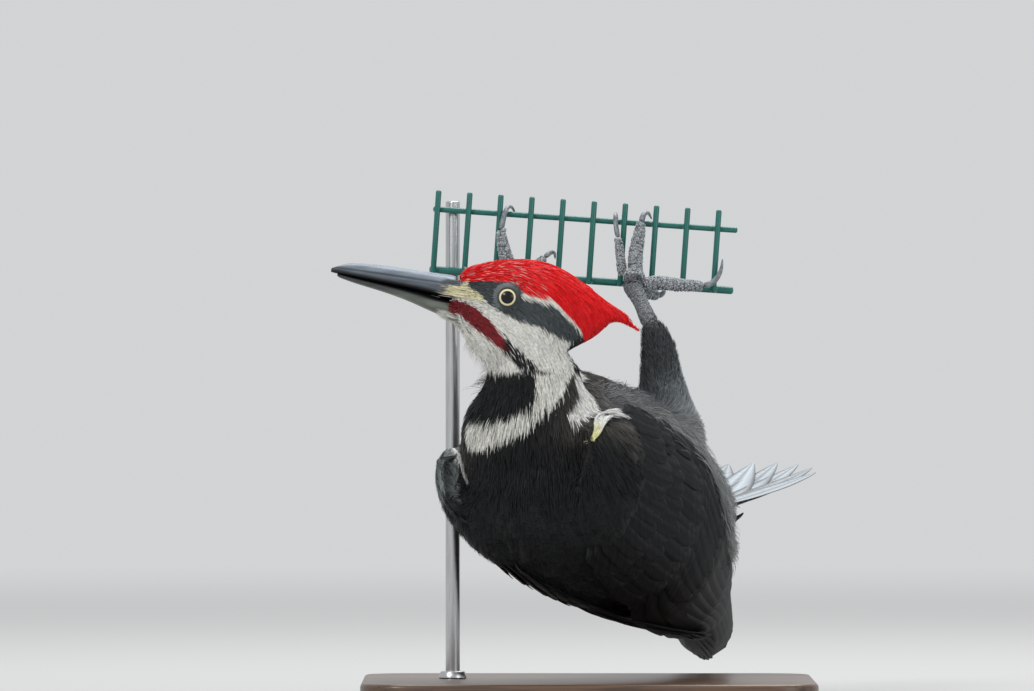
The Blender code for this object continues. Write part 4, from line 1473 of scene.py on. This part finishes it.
def quills(name, feathers, finish, replaced=(), face_tints=(1.0, 1.0), shaft=2.2):
    """A set of large feathers as one piece; face_tints shade the face towards out and the face away from it.

    Each feather is (line, out, left, right, camber, colour, edge, place on the map).
    """
    rings, colours, vanes, maps = [], [], [], []
    size = 2 * len(ACROSS)
    span = np.abs(np.concatenate([ACROSS, ACROSS[::-1]]))[None, :, None]
    for line, out, left, right, camber, colour, edge, place in feathers:
        reach = np.where(ACROSS < 0, left[:, None], right[:, None]) * ACROSS
        rings.append(quill_points(line, out, reach, camber).reshape(-1, 3))
        run = np.concatenate([[0], np.cumsum(np.linalg.norm(np.diff(line, axis=0), axis=1))])
        both = np.concatenate([reach, reach[:, ::-1]], 1)
        vanes.append(np.stack([both, np.repeat(run[:, None], size, 1)], -1).reshape(-1, 2))
        tint = colour * (1 - span**3) + edge * span**3
        tint = np.where(span < 0.05, colour * shaft, tint) * np.ones((ROWS, 1, 1))
        tint[:, :len(ACROSS)] *= face_tints[0]
        tint[:, len(ACROSS):] *= face_tints[1]
        colours.append(tint.reshape(-1, 3))
        along = np.repeat(np.linspace(-0.5, 0.5, ROWS)[:, None], size, 1)
        grid = np.stack([both / (both.max() - both.min()) * 0.9, along], -1)
        maps.append((np.asarray(place) + grid * QUILL_PATCH).reshape(-1, 2))
    mesh = mesh_from(name, np.array(rings), ring_faces(ROWS, size), np.array(colours), np.array(maps),
                     np.array(vanes))
    return add_piece(name, mesh, finish, replaced)


def wing_quill(side, start, end, width, rise, rng, pale=1.5, tip=(0.86, 2.2), lead=0.75, camber=0.10,
               tilt=-0.10):
    """A feather over the wing bed from (place, share) to (place, share).

    Rise is its height over the bed at both ends, pale how much lighter its edges are painted, as painted
    highlight on the barb ends, lead how narrow its lower vane is, and tilt tucks its inner edge under.
    """
    black = np.array(plumage().black)
    colour = black * rng.uniform(0.65, 0.95)
    spot = (0.1 + 0.8 * rng.random(), 0.15 + 0.7 * rng.random())
    t = np.linspace(0, 1, ROWS)
    place = start[0] + (end[0] - start[0]) * t
    share = start[1] + (end[1] - start[1]) * t**1.15
    height = rise[0] + (rise[1] - rise[0]) * t - ROOT_DIP * smooth_step(0.22, 0.0, t)
    line = wing_point(side, place, share, height)
    across = unit(wing_point(side, place, share + 0.02, height) - line)
    out = unit(wing_point(side, place, share, height + 1.0) - line)
    out = unit(out + across * tilt)
    half = feather_outline(width * MM, *tip)
    ruffle = 1 + rng.normal(0, 0.012, ROWS)
    narrow, broad = half * lead * ruffle, half * (2 - lead)
    turned = (np.cross(out, np.gradient(line, axis=0)) * across).sum(1).mean() < 0
    left, right = (broad, narrow) if turned else (narrow, broad)
    # the edges are painted lighter by pale, as painted highlight on the barb ends
    return line, out, left, right, camber, colour, black * pale, spot


# Ends of the primaries, which close the wing's tip: place along the wing and share across it
PRIMARY_ENDS = [(204, 1.06), (221, 0.96), (231, 0.84), (236, 0.72), (238, 0.60), (236, 0.49), (231, 0.37),
                (221, 0.25), (204, 0.13)]
SECONDARIES = 9
# Rows of coverts: count, places of roots and tips, half width, heights of roots and tips, paleness of edges
# (painted highlight on the barb ends)
COVERT_ROWS = ((13, 40, 88, 6.6, 1.6, 2.9, 1.6), (14, 31, 66, 5.8, 2.0, 3.6, 1.7),
               (15, 23, 49, 5.2, 2.2, 4.3, 1.8), (15, 15, 37, 4.8, 2.2, 4.9, 1.9))


def wing_feathers(side, rng):
    """All large feathers of one folded wing, from the innermost layer out."""
    feathers = []
    for k, end in enumerate(PRIMARY_ENDS):
        start = (66 + 3.0 * k, 0.80 - 0.09 * k)
        layer = len(PRIMARY_ENDS) - k
        rise = (0.05 + 0.06 * layer, 0.25 + 0.16 * layer)
        feathers.append(wing_quill(side, start, end, 7.4, rise, rng, tip=(0.90, 2.6), lead=0.85))
    for k in range(SECONDARIES):
        f = k / (SECONDARIES - 1)
        start = (48 + 8 * f, 0.02 + 0.92 * f)
        end = (146 + 26 * math.sin(math.pi * (0.1 + 0.62 * f)), 0.06 + 1.02 * f)
        feathers.append(wing_quill(side, start, end, 9.5, (0.9 + 0.13 * k, 1.5 + 0.20 * k), rng))
    for count, near, far, width, low, high, pale in COVERT_ROWS:
        for k in range(count):
            f = k / (count - 1)
            fall = 1 - 0.85 * smooth_step(0.72, 1.0, f)
            start = (near + rng.normal(0, 1.2), -0.03 + 0.99 * f)
            end = (far + (far - near) * 0.12 * math.sin(math.pi * f) + rng.normal(0, 1.6),
                   0.95 * f + rng.normal(0, 0.012))
            half = width * rng.uniform(0.92, 1.1)
            rise = (low * fall, (high + rng.normal(0, 0.12)) * (0.4 + 0.6 * fall))
            tilt = -0.10 + rng.normal(0, 0.02)
            feathers.append(wing_quill(side, start, end, half, rise, rng, pale, (0.72, 2.0), 0.9, 0.14, tilt))
    return feathers


class WOODPECKER_OT_wings(bpy.types.Operator):
    """Lays the coverts, secondaries and primaries of the folded wings"""
    bl_idname = "woodpecker.wings"
    bl_label = "Wing feathers"

    def execute(self, context):
        finish = material("flight_feathers", quill_finish, 0.56, 0.0, 0.12)
        for label, side in (("left", 1), ("right", -1)):
            rng = np.random.default_rng(plumage().seed + 30 + side)
            quills("wing_feathers_" + label, wing_feathers(side, rng), finish, ["wing_" + label])
        return {"FINISHED"}


# Each pair of tail feathers, from the middle out: angle from the tail's middle line and length
TAIL_FEATHERS = [(1.7, 155), (5.2, 152), (9.0, 143), (13.0, 127), (17.0, 106)]
TAIL_HEADING = unit(np.array((0.155, 0.975, 0.097)))
TAIL_LEFT = unit(np.cross(np.array((0.05, 0.12, -0.99)), -TAIL_HEADING))
TAIL_BACK = np.cross(-TAIL_HEADING, TAIL_LEFT)
TAIL_ROOT_HALF_WIDTH = 10 * MM
TAIL_SPREAD = 18.6
# Pale grey of the tail feathers' face away from the back: a dull dark grey lightened by painted sky glare
TAIL_GREY_AND_GLARE = (0.44, 0.50, 0.55)
# Tail coverts: colour of those under the tail, feathers in a row and rows on each face
VENT_COVERT = (0.075, 0.075, 0.072)
COVERTS_IN_ROW = 9
COVERT_LAYERS = 3


def tail_feather(angle, length, layer, side, rng):
    """One stiff pointed tail feather, bowed away from the back."""
    t = np.linspace(0, 1, ROWS)
    turn = math.radians(angle * side)
    far = length * MM * t
    root = TAIL_ROOT_HALF_WIDTH * angle * side / TAIL_SPREAD
    bow = 4 * MM * (angle / TAIL_SPREAD) ** 2 + 7 * MM * (far / 0.155) ** 2
    line = (TAIL_ROOT + TAIL_HEADING * (math.cos(turn) * far)[:, None]
            + TAIL_LEFT * (root + math.sin(turn) * far)[:, None] - TAIL_BACK * bow[:, None]
            + TAIL_BACK * (1.2 - 0.4 * layer) * MM * (1 - 0.4 * t)[:, None] + TAIL_BACK * 0.1 * side * MM)
    out = unit(np.repeat((TAIL_BACK + TAIL_LEFT * side * 0.10)[None, :], ROWS, 0))
    half = feather_outline((11.0 - 0.7 * layer) * MM, 0.52, 1.25, 0.4, 0.85)
    half *= 1 + rng.normal(0, 0.006, ROWS)
    # the pale grey is mostly painted sky glare; the edges are painted much darker
    grey = np.array(TAIL_GREY_AND_GLARE)
    spot = (0.2 + 0.12 * layer, 0.4 + 0.2 * side)
    return line, out, half, half, 0.06, grey * rng.uniform(0.75, 1.25), grey * 0.12, spot


def tail_covert(face, length, row, f, colour, rng):
    """One covert over the tail's root; f runs from -1 to 1 across its row."""
    t = np.linspace(0, 1, ROWS)
    outward = TAIL_BACK * face
    far = (length - 8 * row - 9 * f * f) * MM
    turn = math.radians(13 * f)
    start = (trunk_centre(126.0 - 7 * row) + TAIL_LEFT * 13 * f * MM
             + outward * (13 + 2.0 * row) * (1 - 0.35 * f * f) * MM)
    goal = (TAIL_ROOT + TAIL_HEADING * (math.cos(turn) * (far * 0.75))
            + TAIL_LEFT * (12 * f * MM + math.sin(turn) * far * 0.6) + outward * (2.2 + row) * MM)
    arch = 3.2 * MM * np.sin(math.pi * t) * (1 - 0.5 * f * f)
    line = start + (goal - start) * t[:, None] + outward * arch[:, None]
    out = unit(np.repeat((outward + TAIL_LEFT * 0.5 * f)[None, :], ROWS, 0))
    half = feather_outline(5.8 * MM, 0.62, 1.8, 0.3)
    tone = colour * rng.uniform(0.8, 1.2)
    # the edges are painted lighter, as painted highlight on the barb ends
    return line, out, half, half, 0.12, tone, colour * 1.6, (rng.uniform(0.1, 0.9), rng.uniform(0.2, 0.8))


class WOODPECKER_OT_tail(bpy.types.Operator):
    """Fans the ten stiff pointed tail feathers and covers their roots"""
    bl_idname = "woodpecker.tail"
    bl_label = "Tail feathers"

    def execute(self, context):
        rng = np.random.default_rng(plumage().seed + 40)
        feathers = [tail_feather(angle, length, layer, side, rng)
                    for layer, (angle, length) in enumerate(TAIL_FEATHERS) for side in (-1, 1)]
        finish = material("tail_vanes", quill_finish, 0.36, 0.35, 0.5, 0.14)
        # the face towards the back is near black, its own colour; the face away from it carries the painted
        # glare
        quills("tail_feathers", feathers, finish, ["tail"], (0.05, 1.0), shaft=0.35)
        faces = ((1, 46, np.array(plumage().black) * 1.1), (-1, 40, np.array(VENT_COVERT)))
        places = [2 * k / (COVERTS_IN_ROW - 1) - 1 for k in range(COVERTS_IN_ROW)]
        coverts = [tail_covert(face, length, row, f, colour, rng)
                   for face, length, colour in faces for row in range(COVERT_LAYERS) for f in places]
        quills("tail_coverts", coverts, material("covert_vanes", quill_finish, 0.5, 0.0))
        return {"FINISHED"}


# ---------------------------------------------------------------- bare parts


def smoothed_node(name, levels):
    """The CAD node's shape with its triangles joined and its facets rounded."""
    shape = node_shape(name)
    bmesh.ops.join_triangles(shape, faces=shape.faces, angle_face_threshold=math.radians(50),
                             angle_shape_threshold=math.radians(60))

    def round_off(holder):
        step = holder.modifiers.new("rounding", "SUBSURF")
        step.levels = step.render_levels = levels

    return evaluated_mesh(shape, name + "_skin", round_off)


# How far each half of the bill reaches into the gape, and the colour of the lower one's underside
GAPE_REACH = 0.29 * MM
PALE_HORN = (0.105, 0.118, 0.10)


class WOODPECKER_OT_bill(bpy.types.Operator):
    """Shapes the two halves of the bill with their ridges"""
    bl_idname = "woodpecker.bill"
    bl_label = "Bill"

    def execute(self, context):
        for name, halves, facing in (("bill_upper", self.upper_half, -1), ("bill_lower", self.lower_half, 1)):
            mesh = smoothed_node(name, 3)
            points, normals = mesh_points(mesh), mesh_normals(mesh)
            back, crown, side = in_head(points)
            grown, tint = halves(-back, crown, side)
            points = points + normals * (grown * MM)[:, None]
            # the two halves meet along the gape; faces turned into the gape are painted near black, as
            # painted shade between the halves
            towards = CROWN * facing
            meeting = smooth_step(0.25, 0.6, normals @ towards) * (np.abs(crown) < 3.5)
            points = points + towards * (meeting * GAPE_REACH)[:, None]
            set_points(mesh, points)
            set_marking(mesh, tint * (1 - 0.95 * meeting)[:, None])
            mesh.shade_smooth()
            add_piece(name + "_horn", mesh, material("bill_horn", bill_finish), [name])
        return {"FINISHED"}

    def upper_half(self, ahead, crown, side):
        """Height of the carving in mm, and colour: a top ridge, and a grooved ledge on each side."""
        level = 0.4 + 3.6 * (1 - ahead / 53)
        on_side = np.abs(side) > 1.2
        ridge = np.exp(-((side / 0.7) ** 2)) * (crown > 1.5) * 0.35 * smooth_step(52, 44, ahead)
        ledge = np.exp(-(((crown - level) / 0.45) ** 2)) * on_side * 0.28 * smooth_step(50, 40, ahead)
        groove = np.exp(-(((crown - level - 1.1) / 0.5) ** 2)) * on_side * 0.25 * smooth_step(46, 30, ahead)
        # the top is painted lighter, a painted highlight of the sky on the ridge, and the groove darker, as
        # painted shade; it is also darker along its lower edge by the gape
        lit = smooth_step(0.3, 2.5, crown - level)
        band = smooth_step(1.6, 0.2, crown)
        shade = 0.62 + 0.62 * lit - 0.45 * band - 0.5 * np.exp(-(((crown - level - 1.1) / 0.4) ** 2))
        return ridge + ledge - groove, np.array(bare_parts().bill) * np.maximum(shade, 0.1)[:, None]

    def lower_half(self, ahead, crown, side):
        """Height of the carving in mm, and colour: a keel below, and a dark line where its two arms part."""
        ridge = np.exp(-((side / 0.8) ** 2)) * (crown < -2) * 0.25
        # above, by the gape, it is painted dark, as painted shade under the upper half; the pale horn below
        # is its own colour
        low = smooth_step(-1.6, -4.6, crown)[:, None]
        tint = np.array(bare_parts().bill) * 0.22 * (1 - low) + np.array(PALE_HORN) * low
        ramus = np.exp(-(((crown + 7.4 + ahead * 0.13) / 0.5) ** 2)) * smooth_step(22, 12, ahead)
        return ridge, tint * (1 - 0.85 * ramus[:, None])


def eye_place(side):
    """The eyeball's centre and the way that it looks."""
    centre = BILL_ROOT - BILLWARD * EYE_BACK * MM + CROWN * EYE_HEIGHT * MM + HEAD_LEFT * side * EYE_OUT * MM
    return centre, HEAD_LEFT * side


def turned_to(shape, centre, way):
    """Turns a bmesh made round +Z to look along a direction from a centre."""
    turn = Vector((0, 0, 1)).rotation_difference(Vector(way)).to_matrix().to_4x4()
    bmesh.ops.transform(shape, matrix=Matrix.Translation(Vector(centre)) @ turn, verts=shape.verts)


def aside_from(points, centre, way):
    """Distances of points from an axis, in metres, and which lie ahead of its centre."""
    offset = points - centre
    return np.linalg.norm(offset - (offset @ way)[:, None] * way, axis=1), offset @ way > 0


# The lids from their rim outwards: distance beyond the iris and rise over its plane, in mm
LID_PROFILE = [(-0.12, -0.25), (-0.02, 0.12), (0.25, 0.20), (0.55, 0.02), (1.0, -0.35), (1.5, -0.85),
               (2.2, -1.55), (2.5, -2.4)]
LID_RIM, LID_SKIN = (0.014, 0.014, 0.015), (0.062, 0.068, 0.072)


class WOODPECKER_OT_eyes(bpy.types.Operator):
    """Makes the eyeballs with iris and pupil, their lids and the bare skin round them"""
    bl_idname = "woodpecker.eyes"
    bl_label = "Eyes and lids"

    def execute(self, context):
        for label, side in (("left", 1), ("right", -1)):
            centre, way = eye_place(side)
            self.add_eyeball(label, centre, way)
            self.add_lids(label, centre, way)
        return {"FINISHED"}

    def add_eyeball(self, label, centre, way):
        """A ball whose front shows a pale ring with a dark rim round the pupil."""
        parts = bare_parts()
        shape = bmesh.new()
        bmesh.ops.create_uvsphere(shape, u_segments=96, v_segments=96, radius=parts.eye_radius)
        turned_to(shape, centre, way)
        mesh = to_mesh("eyeball_" + label, shape)
        aside, front = aside_from(mesh_points(mesh), centre, way)
        iris = np.array(parts.iris)
        tint = np.tile(np.array((0.02, 0.018, 0.015)), (len(aside), 1))
        tint[front & (aside < parts.iris_radius)] = iris
        tint[front & (aside > parts.iris_radius - 0.25 * MM) & (aside < parts.iris_radius)] = iris * 0.45
        tint[front & (aside < parts.pupil_radius)] = (0.002, 0.002, 0.003)
        set_marking(mesh, tint)
        add_piece("eyeball_" + label, mesh, material("eyeball", eye_finish), ["eye_" + label])

    def add_lids(self, label, centre, way):
        """A lid rim that meets the eyeball, spreading into bare skin over the head."""
        parts = bare_parts()
        rim = parts.iris_radius / MM
        top = math.sqrt(parts.eye_radius**2 - parts.iris_radius**2)
        shape = bmesh.new()
        verts = [shape.verts.new(((rim + out) * MM, 0, top + rise * MM)) for out, rise in LID_PROFILE]
        chain = [shape.edges.new(pair) for pair in zip(verts, verts[1:])]
        bmesh.ops.spin(shape, geom=verts + chain, cent=(0, 0, 0), axis=(0, 0, 1), angle=2 * math.pi, steps=72,
                       use_merge=True)
        bmesh.ops.remove_doubles(shape, verts=shape.verts, dist=1e-7)
        bmesh.ops.recalc_face_normals(shape, faces=shape.faces)
        turned_to(shape, centre, way)
        mesh = to_mesh("eyelids_" + label, shape)
        points = mesh_points(mesh)
        if (mesh_normals(mesh) * way[None, :]).sum() < 0:
            mesh.flip_normals()
        aside, _ = aside_from(points, centre, way)
        share = smooth_step(rim + 0.35, rim + 0.8, aside / MM)[:, None]
        ahead = smooth_step(0.5, 4.5, ((points - centre) @ BILLWARD) / MM)[:, None]
        set_marking(mesh, np.array(LID_RIM) * (1 - share) + np.array(LID_SKIN) * (1 + 1.0 * ahead) * share)
        add_piece("eyelids_" + label, mesh, material("eyelid_skin", lid_finish))


# The feet: face size, swelling before the limbs are joined, length of a scute in mm, colour of the painted
# glints on the beads
FOOT_DETAIL = 0.24 * MM
FOOT_SWELL = 0.15 * MM
SCUTE_LENGTH = 1.9
FOOT_GLINT = (0.66, 0.70, 0.70)


class WOODPECKER_OT_feet(bpy.types.Operator):
    """Gives the tarsi and toes one scaly skin and the claws their horn"""
    bl_idname = "woodpecker.feet"
    bl_label = "Feet"

    def execute(self, context):
        for side in ("left", "right"):
            self.foot_skin(side)
            for k in range(1, 5):
                name = f"claw_{side}_{k}"
                mesh = smoothed_node(name, 2)
                mesh.shade_smooth()
                add_piece(name + "_horn", mesh, material("claw_horn", claw_finish), [name])
        return {"FINISHED"}

    def foot_skin(self, side):
        """Tarsus and toes grown together at the foot's joint, with scutes in front and beads behind."""
        names = [f"tarsus_{side}"] + [f"toe_{side}_{k}" for k in range(1, 5)]
        shape = node_shape(*names)
        self.add_joints(shape, side, names[0])
        shape.normal_update()
        for vert in shape.verts:
            vert.co += vert.normal * FOOT_SWELL
        mesh = grown_together(shape, f"foot_{side}", FOOT_DETAIL)
        edges = edges_of(mesh)
        points = relaxed(mesh_points(mesh), edges, 16)
        set_points(mesh, points)
        normals = unit(relaxed(mesh_normals(mesh), edges, 5))
        owner, run = self.limb_runs(names, points)
        front = normals @ np.array((0.0, -1.0, 0.0))
        spots = [Vector(p) for p in (points / MM).tolist()]
        wander, lump, fleck = (np.array([noise.noise(p * scale + Vector(shift)) for p in spots])
                               for scale, shift in ((0.35, (0, 0, 0)), (0.8, (0, 0, 0)), (1.6, (7, 3, 1))))
        cells = [noise.voronoi(p * 1.25, distance_metric="DISTANCE", exponent=2.5)[0] for p in spots]
        bead = smooth_step(0.03, 0.30, np.array([gaps[1] - gaps[0] for gaps in cells]))
        phase = (run / SCUTE_LENGTH + wander * 0.9) % 1
        plate = smooth_step(0.0, 0.20, phase) * smooth_step(1.0, 0.90, phase) * (0.7 + 0.3 * phase)
        dorsal = smooth_step(0.1, 0.6, front + lump * 0.5) * 0.6
        height = plate * 0.42 * dorsal + bead * 0.42 * (1 - dorsal) + bead * 0.14 + lump * 0.30
        set_points(mesh, points + normals * ((height - 0.30) * MM)[:, None])
        scale = plate * dorsal + bead * (1 - dorsal)
        # the plate and bead tops are painted light and the grooves between them dark: painted highlight and
        # painted shade, with some random tone from lump
        shade = 0.05 + 1.9 * scale**1.6 * (0.6 + 0.4 * bead) + 0.3 * lump
        tint = np.array(bare_parts().foot) * np.clip(shade, 0.08, 1.8)[:, None]
        # pale painted glints on the bead tops, as painted highlight
        tint = tint + (np.array(FOOT_GLINT) - tint) * (smooth_step(0.25, 0.55, fleck) * bead * 0.8)[:, None]
        tarsus_dim = np.where(owner == 0, 0.45, 1.0)
        set_marking(mesh, tint * tarsus_dim[:, None])
        mesh.shade_smooth()
        add_piece(f"foot_{side}", mesh, material("scaly_foot", foot_finish), names)

    def add_joints(self, shape, side, tarsus):
        """Adds balls that round the joined skin at the foot's joint, the heel and the claws' bases."""

        def ball(spot, radius, subdivisions=3, stretch=(1, 1, 1)):
            verts = bmesh.ops.create_icosphere(shape, subdivisions=subdivisions, radius=radius)["verts"]
            bmesh.ops.scale(shape, vec=stretch, verts=verts)
            bmesh.ops.translate(shape, vec=Vector(spot), verts=verts)

        ends = mesh_points(frame["nodes"][tarsus].data)
        joint = Vector(ends[ends[:, 2] > ends[:, 2].max() - 2.5 * MM].mean(0))
        ball(joint + Vector((0, -0.6, 1.4)) * MM, 4.0 * MM, stretch=(1.1, 0.8, 1.0))
        far = np.linalg.norm(ends - np.array(joint), axis=1)
        ball(ends[far > far.max() - 2.5 * MM].mean(0), 2.75 * MM)
        for k in range(1, 5):
            toe = mesh_points(frame["nodes"][f"toe_{side}_{k}"].data)
            claw = mesh_points(frame["nodes"][f"claw_{side}_{k}"].data)
            gaps = np.linalg.norm(claw[:, None] - toe[None], axis=2).min(1)
            base = claw[np.argsort(gaps)[:6]]
            reach = np.linalg.norm(base - base.mean(0), axis=1).mean()
            ball(base.mean(0), reach + 0.25 * MM, subdivisions=2)

    def limb_runs(self, names, points):
        """Which limb each point belongs to and how far along it the point lies, in mm."""
        gaps, runs = [], []
        for name in names:
            own = mesh_points(frame["nodes"][name].data)
            centre, way = long_axis(own)
            tree = tree_of(own)
            gaps.append([tree.find(point)[2] for point in points.tolist()])
            runs.append((points - centre) @ way / MM)
        owner = np.argmin(gaps, 0)
        return owner, np.array(runs)[owner, np.arange(len(points))]


# ---------------------------------------------------------------- perch, stand and stage


def wire_line(name):
    """Both ends of a straight wire's axis and its radius, from its CAD node."""
    points = mesh_points(frame["nodes"][name].data)
    centre, way = long_axis(points)
    if way.sum() < 0:
        way = -way
    run = (points - centre) @ way
    radius = np.linalg.norm(points - centre - run[:, None] * way, axis=1).max()
    middle = (points.max(0) + points.min(0)) / 2
    start, end = (middle + way * (at - (middle - centre) @ way) for at in (run.min(), run.max()))
    return start, end, radius


def soften(shape, rims, width, segments=4):
    return bmesh.ops.bevel(shape, geom=rims, offset=width, offset_type="OFFSET", segments=segments,
                           profile=0.5, affect="EDGES", material=-1)


def round_rims(verts):
    """The rims of the round faces among the given points."""
    return list({edge for vert in verts for edge in vert.link_edges
                 if any(len(face.verts) > 4 for face in edge.link_faces)})


def round_bar(shape, start, end, radius, segments, edge):
    """Adds a round bar with softened ends to a bmesh."""
    start, end = Vector(start), Vector(end)
    span = end - start
    verts = bmesh.ops.create_cone(shape, cap_ends=True, segments=segments, radius1=radius, radius2=radius,
                                  depth=span.length)["verts"]
    result = soften(shape, round_rims(verts), edge)
    rounded = {vert for face in result["faces"] for vert in face.verts}
    verts = list({vert for vert in verts if vert.is_valid} | rounded)
    turn = Vector((0, 0, 1)).rotation_difference(span).to_matrix().to_4x4()
    bmesh.ops.transform(shape, matrix=Matrix.Translation((start + end) / 2) @ turn, verts=verts)


class WOODPECKER_OT_perch(bpy.types.Operator):
    """Makes the strip of plastic-coated welded wire"""
    bl_idname = "woodpecker.perch"
    bl_label = "Wire perch"

    def execute(self, context):
        names = sorted(name for name in frame["nodes"] if name.startswith("perch_"))
        lines = {name: wire_line(name) for name in names}
        shape = bmesh.new()
        for start, end, radius in lines.values():
            round_bar(shape, start, end, radius, 20, radius * 0.7)
        for level in ("perch_wire_low", "perch_wire_high"):
            for name in names:
                if "upright" in name:
                    self.add_weld(shape, lines[level], lines[name])
        mesh = to_mesh("perch_wires", shape)
        add_piece("perch_wires", mesh, material("coated_wire", wire_finish), names)
        return {"FINISHED"}

    def add_weld(self, shape, level, upright):
        """A blob of plastic over the weld where an upright crosses a level wire."""
        a, b, _ = level
        c, d, radius = upright
        on_level = a + (b - a) * (((c + d) / 2 - a)[0] / (b - a)[0])
        way = unit(d - c)
        on_upright = c + way * ((on_level - c) @ way)
        verts = bmesh.ops.create_icosphere(shape, subdivisions=3, radius=radius * 1.15)["verts"]
        bmesh.ops.scale(shape, vec=(1.15, 1.25, 1.1), verts=verts)
        bmesh.ops.translate(shape, vec=Vector((on_level + on_upright) / 2), verts=verts)


class WOODPECKER_OT_stand(bpy.types.Operator):
    """Finishes the stand's base and rod"""
    bl_idname = "woodpecker.stand"
    bl_label = "Stand"

    def execute(self, context):
        shape = node_shape("stand_base")
        bmesh.ops.dissolve_limit(shape, angle_limit=math.radians(1), verts=shape.verts, edges=shape.edges)
        rims = [e for e in shape.edges if abs(e.calc_face_angle(0)) > math.radians(60)]
        soften(shape, rims, 1.6 * MM)
        mesh = to_mesh("stand_plinth", shape)
        mesh.set_sharp_from_angle(angle=math.radians(50))
        add_piece("stand_plinth", mesh, material("stained_wood", wood_finish), ["stand_base"])
        start, end, radius = wire_line("stand_rod")
        shape = bmesh.new()
        round_bar(shape, start, end, radius, 40, 0.8 * MM)
        collar = bmesh.ops.create_cone(shape, cap_ends=True, segments=40, radius1=radius * 2.0,
                                       radius2=radius * 1.7, depth=3 * MM)["verts"]
        bmesh.ops.translate(shape, vec=Vector(start) + Vector((0, 0, 1.3 * MM)), verts=collar)
        soften(shape, round_rims(collar), 0.5 * MM, 3)
        mesh = to_mesh("stand_post", shape)
        mesh.set_sharp_from_angle(angle=math.radians(50))
        add_piece("stand_post", mesh, material("brushed_steel", steel_finish), ["stand_rod"])
        return {"FINISHED"}


CAMERA_PLACE = (-0.030, -5.0, 0.150)
FRAME_WIDTH = 0.4343
SENSOR_WIDTH = 36
SKY = (0.90, 0.91, 0.92)
SKY_STRENGTH = 0.72
# Soft lamps that look at the model's middle: name, place, width, power, colour
MODEL_MIDDLE = (0.0, 0.0, 0.13)
LAMPS = (
    ("key_light", (-1.3, -1.9, 1.5), 0.9, 24, (1.0, 0.985, 0.96)),
    ("fill_light", (1.9, -1.7, 0.7), 1.4, 9, (0.95, 0.98, 1.0)),
    ("top_light", (0.25, 0.55, 1.6), 1.5, 25, (0.97, 0.99, 1.0)),
)


class WOODPECKER_OT_stage(bpy.types.Operator):
    """Lays the floor and sets the lights and the camera"""
    bl_idname = "woodpecker.stage"
    bl_label = "Stage"

    def execute(self, context):
        scene = context.scene
        shape = bmesh.new()
        bmesh.ops.create_circle(shape, cap_ends=True, segments=96, radius=14)
        floor = bpy.data.objects.new("floor", to_mesh("floor", shape, smooth=False))
        floor.data.materials.append(material("pale_floor", floor_finish))
        scene.collection.objects.link(floor)
        for lamp in LAMPS:
            self.add_light(*lamp)
        sky = bpy.data.worlds.new("studio")
        sky.use_nodes = True
        connect(sky.node_tree.nodes["Background"], {"Color": (*SKY, 1), "Strength": SKY_STRENGTH})
        scene.world = sky
        lens = bpy.data.cameras.new("camera")
        lens.sensor_width = SENSOR_WIDTH
        lens.lens = SENSOR_WIDTH * abs(CAMERA_PLACE[1]) / FRAME_WIDTH
        lens.clip_start, lens.clip_end = 0.1, 100
        camera = bpy.data.objects.new("camera", lens)
        camera.location = CAMERA_PLACE
        camera.rotation_euler = (math.pi / 2, 0, 0)
        scene.collection.objects.link(camera)
        scene.camera = camera
        scene.view_settings.view_transform = "Standard"
        return {"FINISHED"}

    def add_light(self, name, place, width, power, colour):
        """A round soft lamp turned to the model."""
        lamp = bpy.data.lights.new(name, "AREA")
        lamp.shape = "DISK"
        lamp.size = width
        lamp.energy = power
        lamp.color = colour
        light = bpy.data.objects.new(name, lamp)
        light.location = place
        light.rotation_euler = (Vector(MODEL_MIDDLE) - Vector(place)).to_track_quat("-Z", "Y").to_euler()
        bpy.context.scene.collection.objects.link(light)


STEPS = ("stage", "skin", "head_coat", "body_coat", "wings", "tail", "bill", "eyes", "feet", "perch", "stand")


class WOODPECKER_PT_panel(bpy.types.Panel):
    """Lists the woodpecker's settings and the steps that build it"""
    bl_idname = "WOODPECKER_PT_panel"
    bl_label = "Woodpecker"
    bl_space_type = "VIEW_3D"
    bl_region_type = "UI"
    bl_category = "Woodpecker"

    def draw(self, context):
        for step in STEPS:
            self.layout.operator("woodpecker." + step)
        for settings in (plumage(), bare_parts(), stand()):
            box = self.layout.box()
            for name in settings.__annotations__:
                box.prop(settings, name)


CLASSES = (
    PlumageSettings, BarePartSettings, StandSettings, WOODPECKER_OT_stage, WOODPECKER_OT_skin,
    WOODPECKER_OT_head_coat, WOODPECKER_OT_body_coat, WOODPECKER_OT_wings, WOODPECKER_OT_tail,
    WOODPECKER_OT_bill, WOODPECKER_OT_eyes, WOODPECKER_OT_feet, WOODPECKER_OT_perch, WOODPECKER_OT_stand,
    WOODPECKER_PT_panel,
)


def register():
    for cls in CLASSES:
        bpy.utils.register_class(cls)
    bpy.types.Scene.woodpecker_plumage = PointerProperty(type=PlumageSettings)
    bpy.types.Scene.woodpecker_bare_parts = PointerProperty(type=BarePartSettings)
    bpy.types.Scene.woodpecker_stand = PointerProperty(type=StandSettings)


def unregister():
    del bpy.types.Scene.woodpecker_plumage
    del bpy.types.Scene.woodpecker_bare_parts
    del bpy.types.Scene.woodpecker_stand
    for cls in reversed(CLASSES):
        bpy.utils.unregister_class(cls)


def main():
    register()
    for step in STEPS:
        getattr(bpy.ops.woodpecker, step)()


if __name__ == "__main__":
    main()
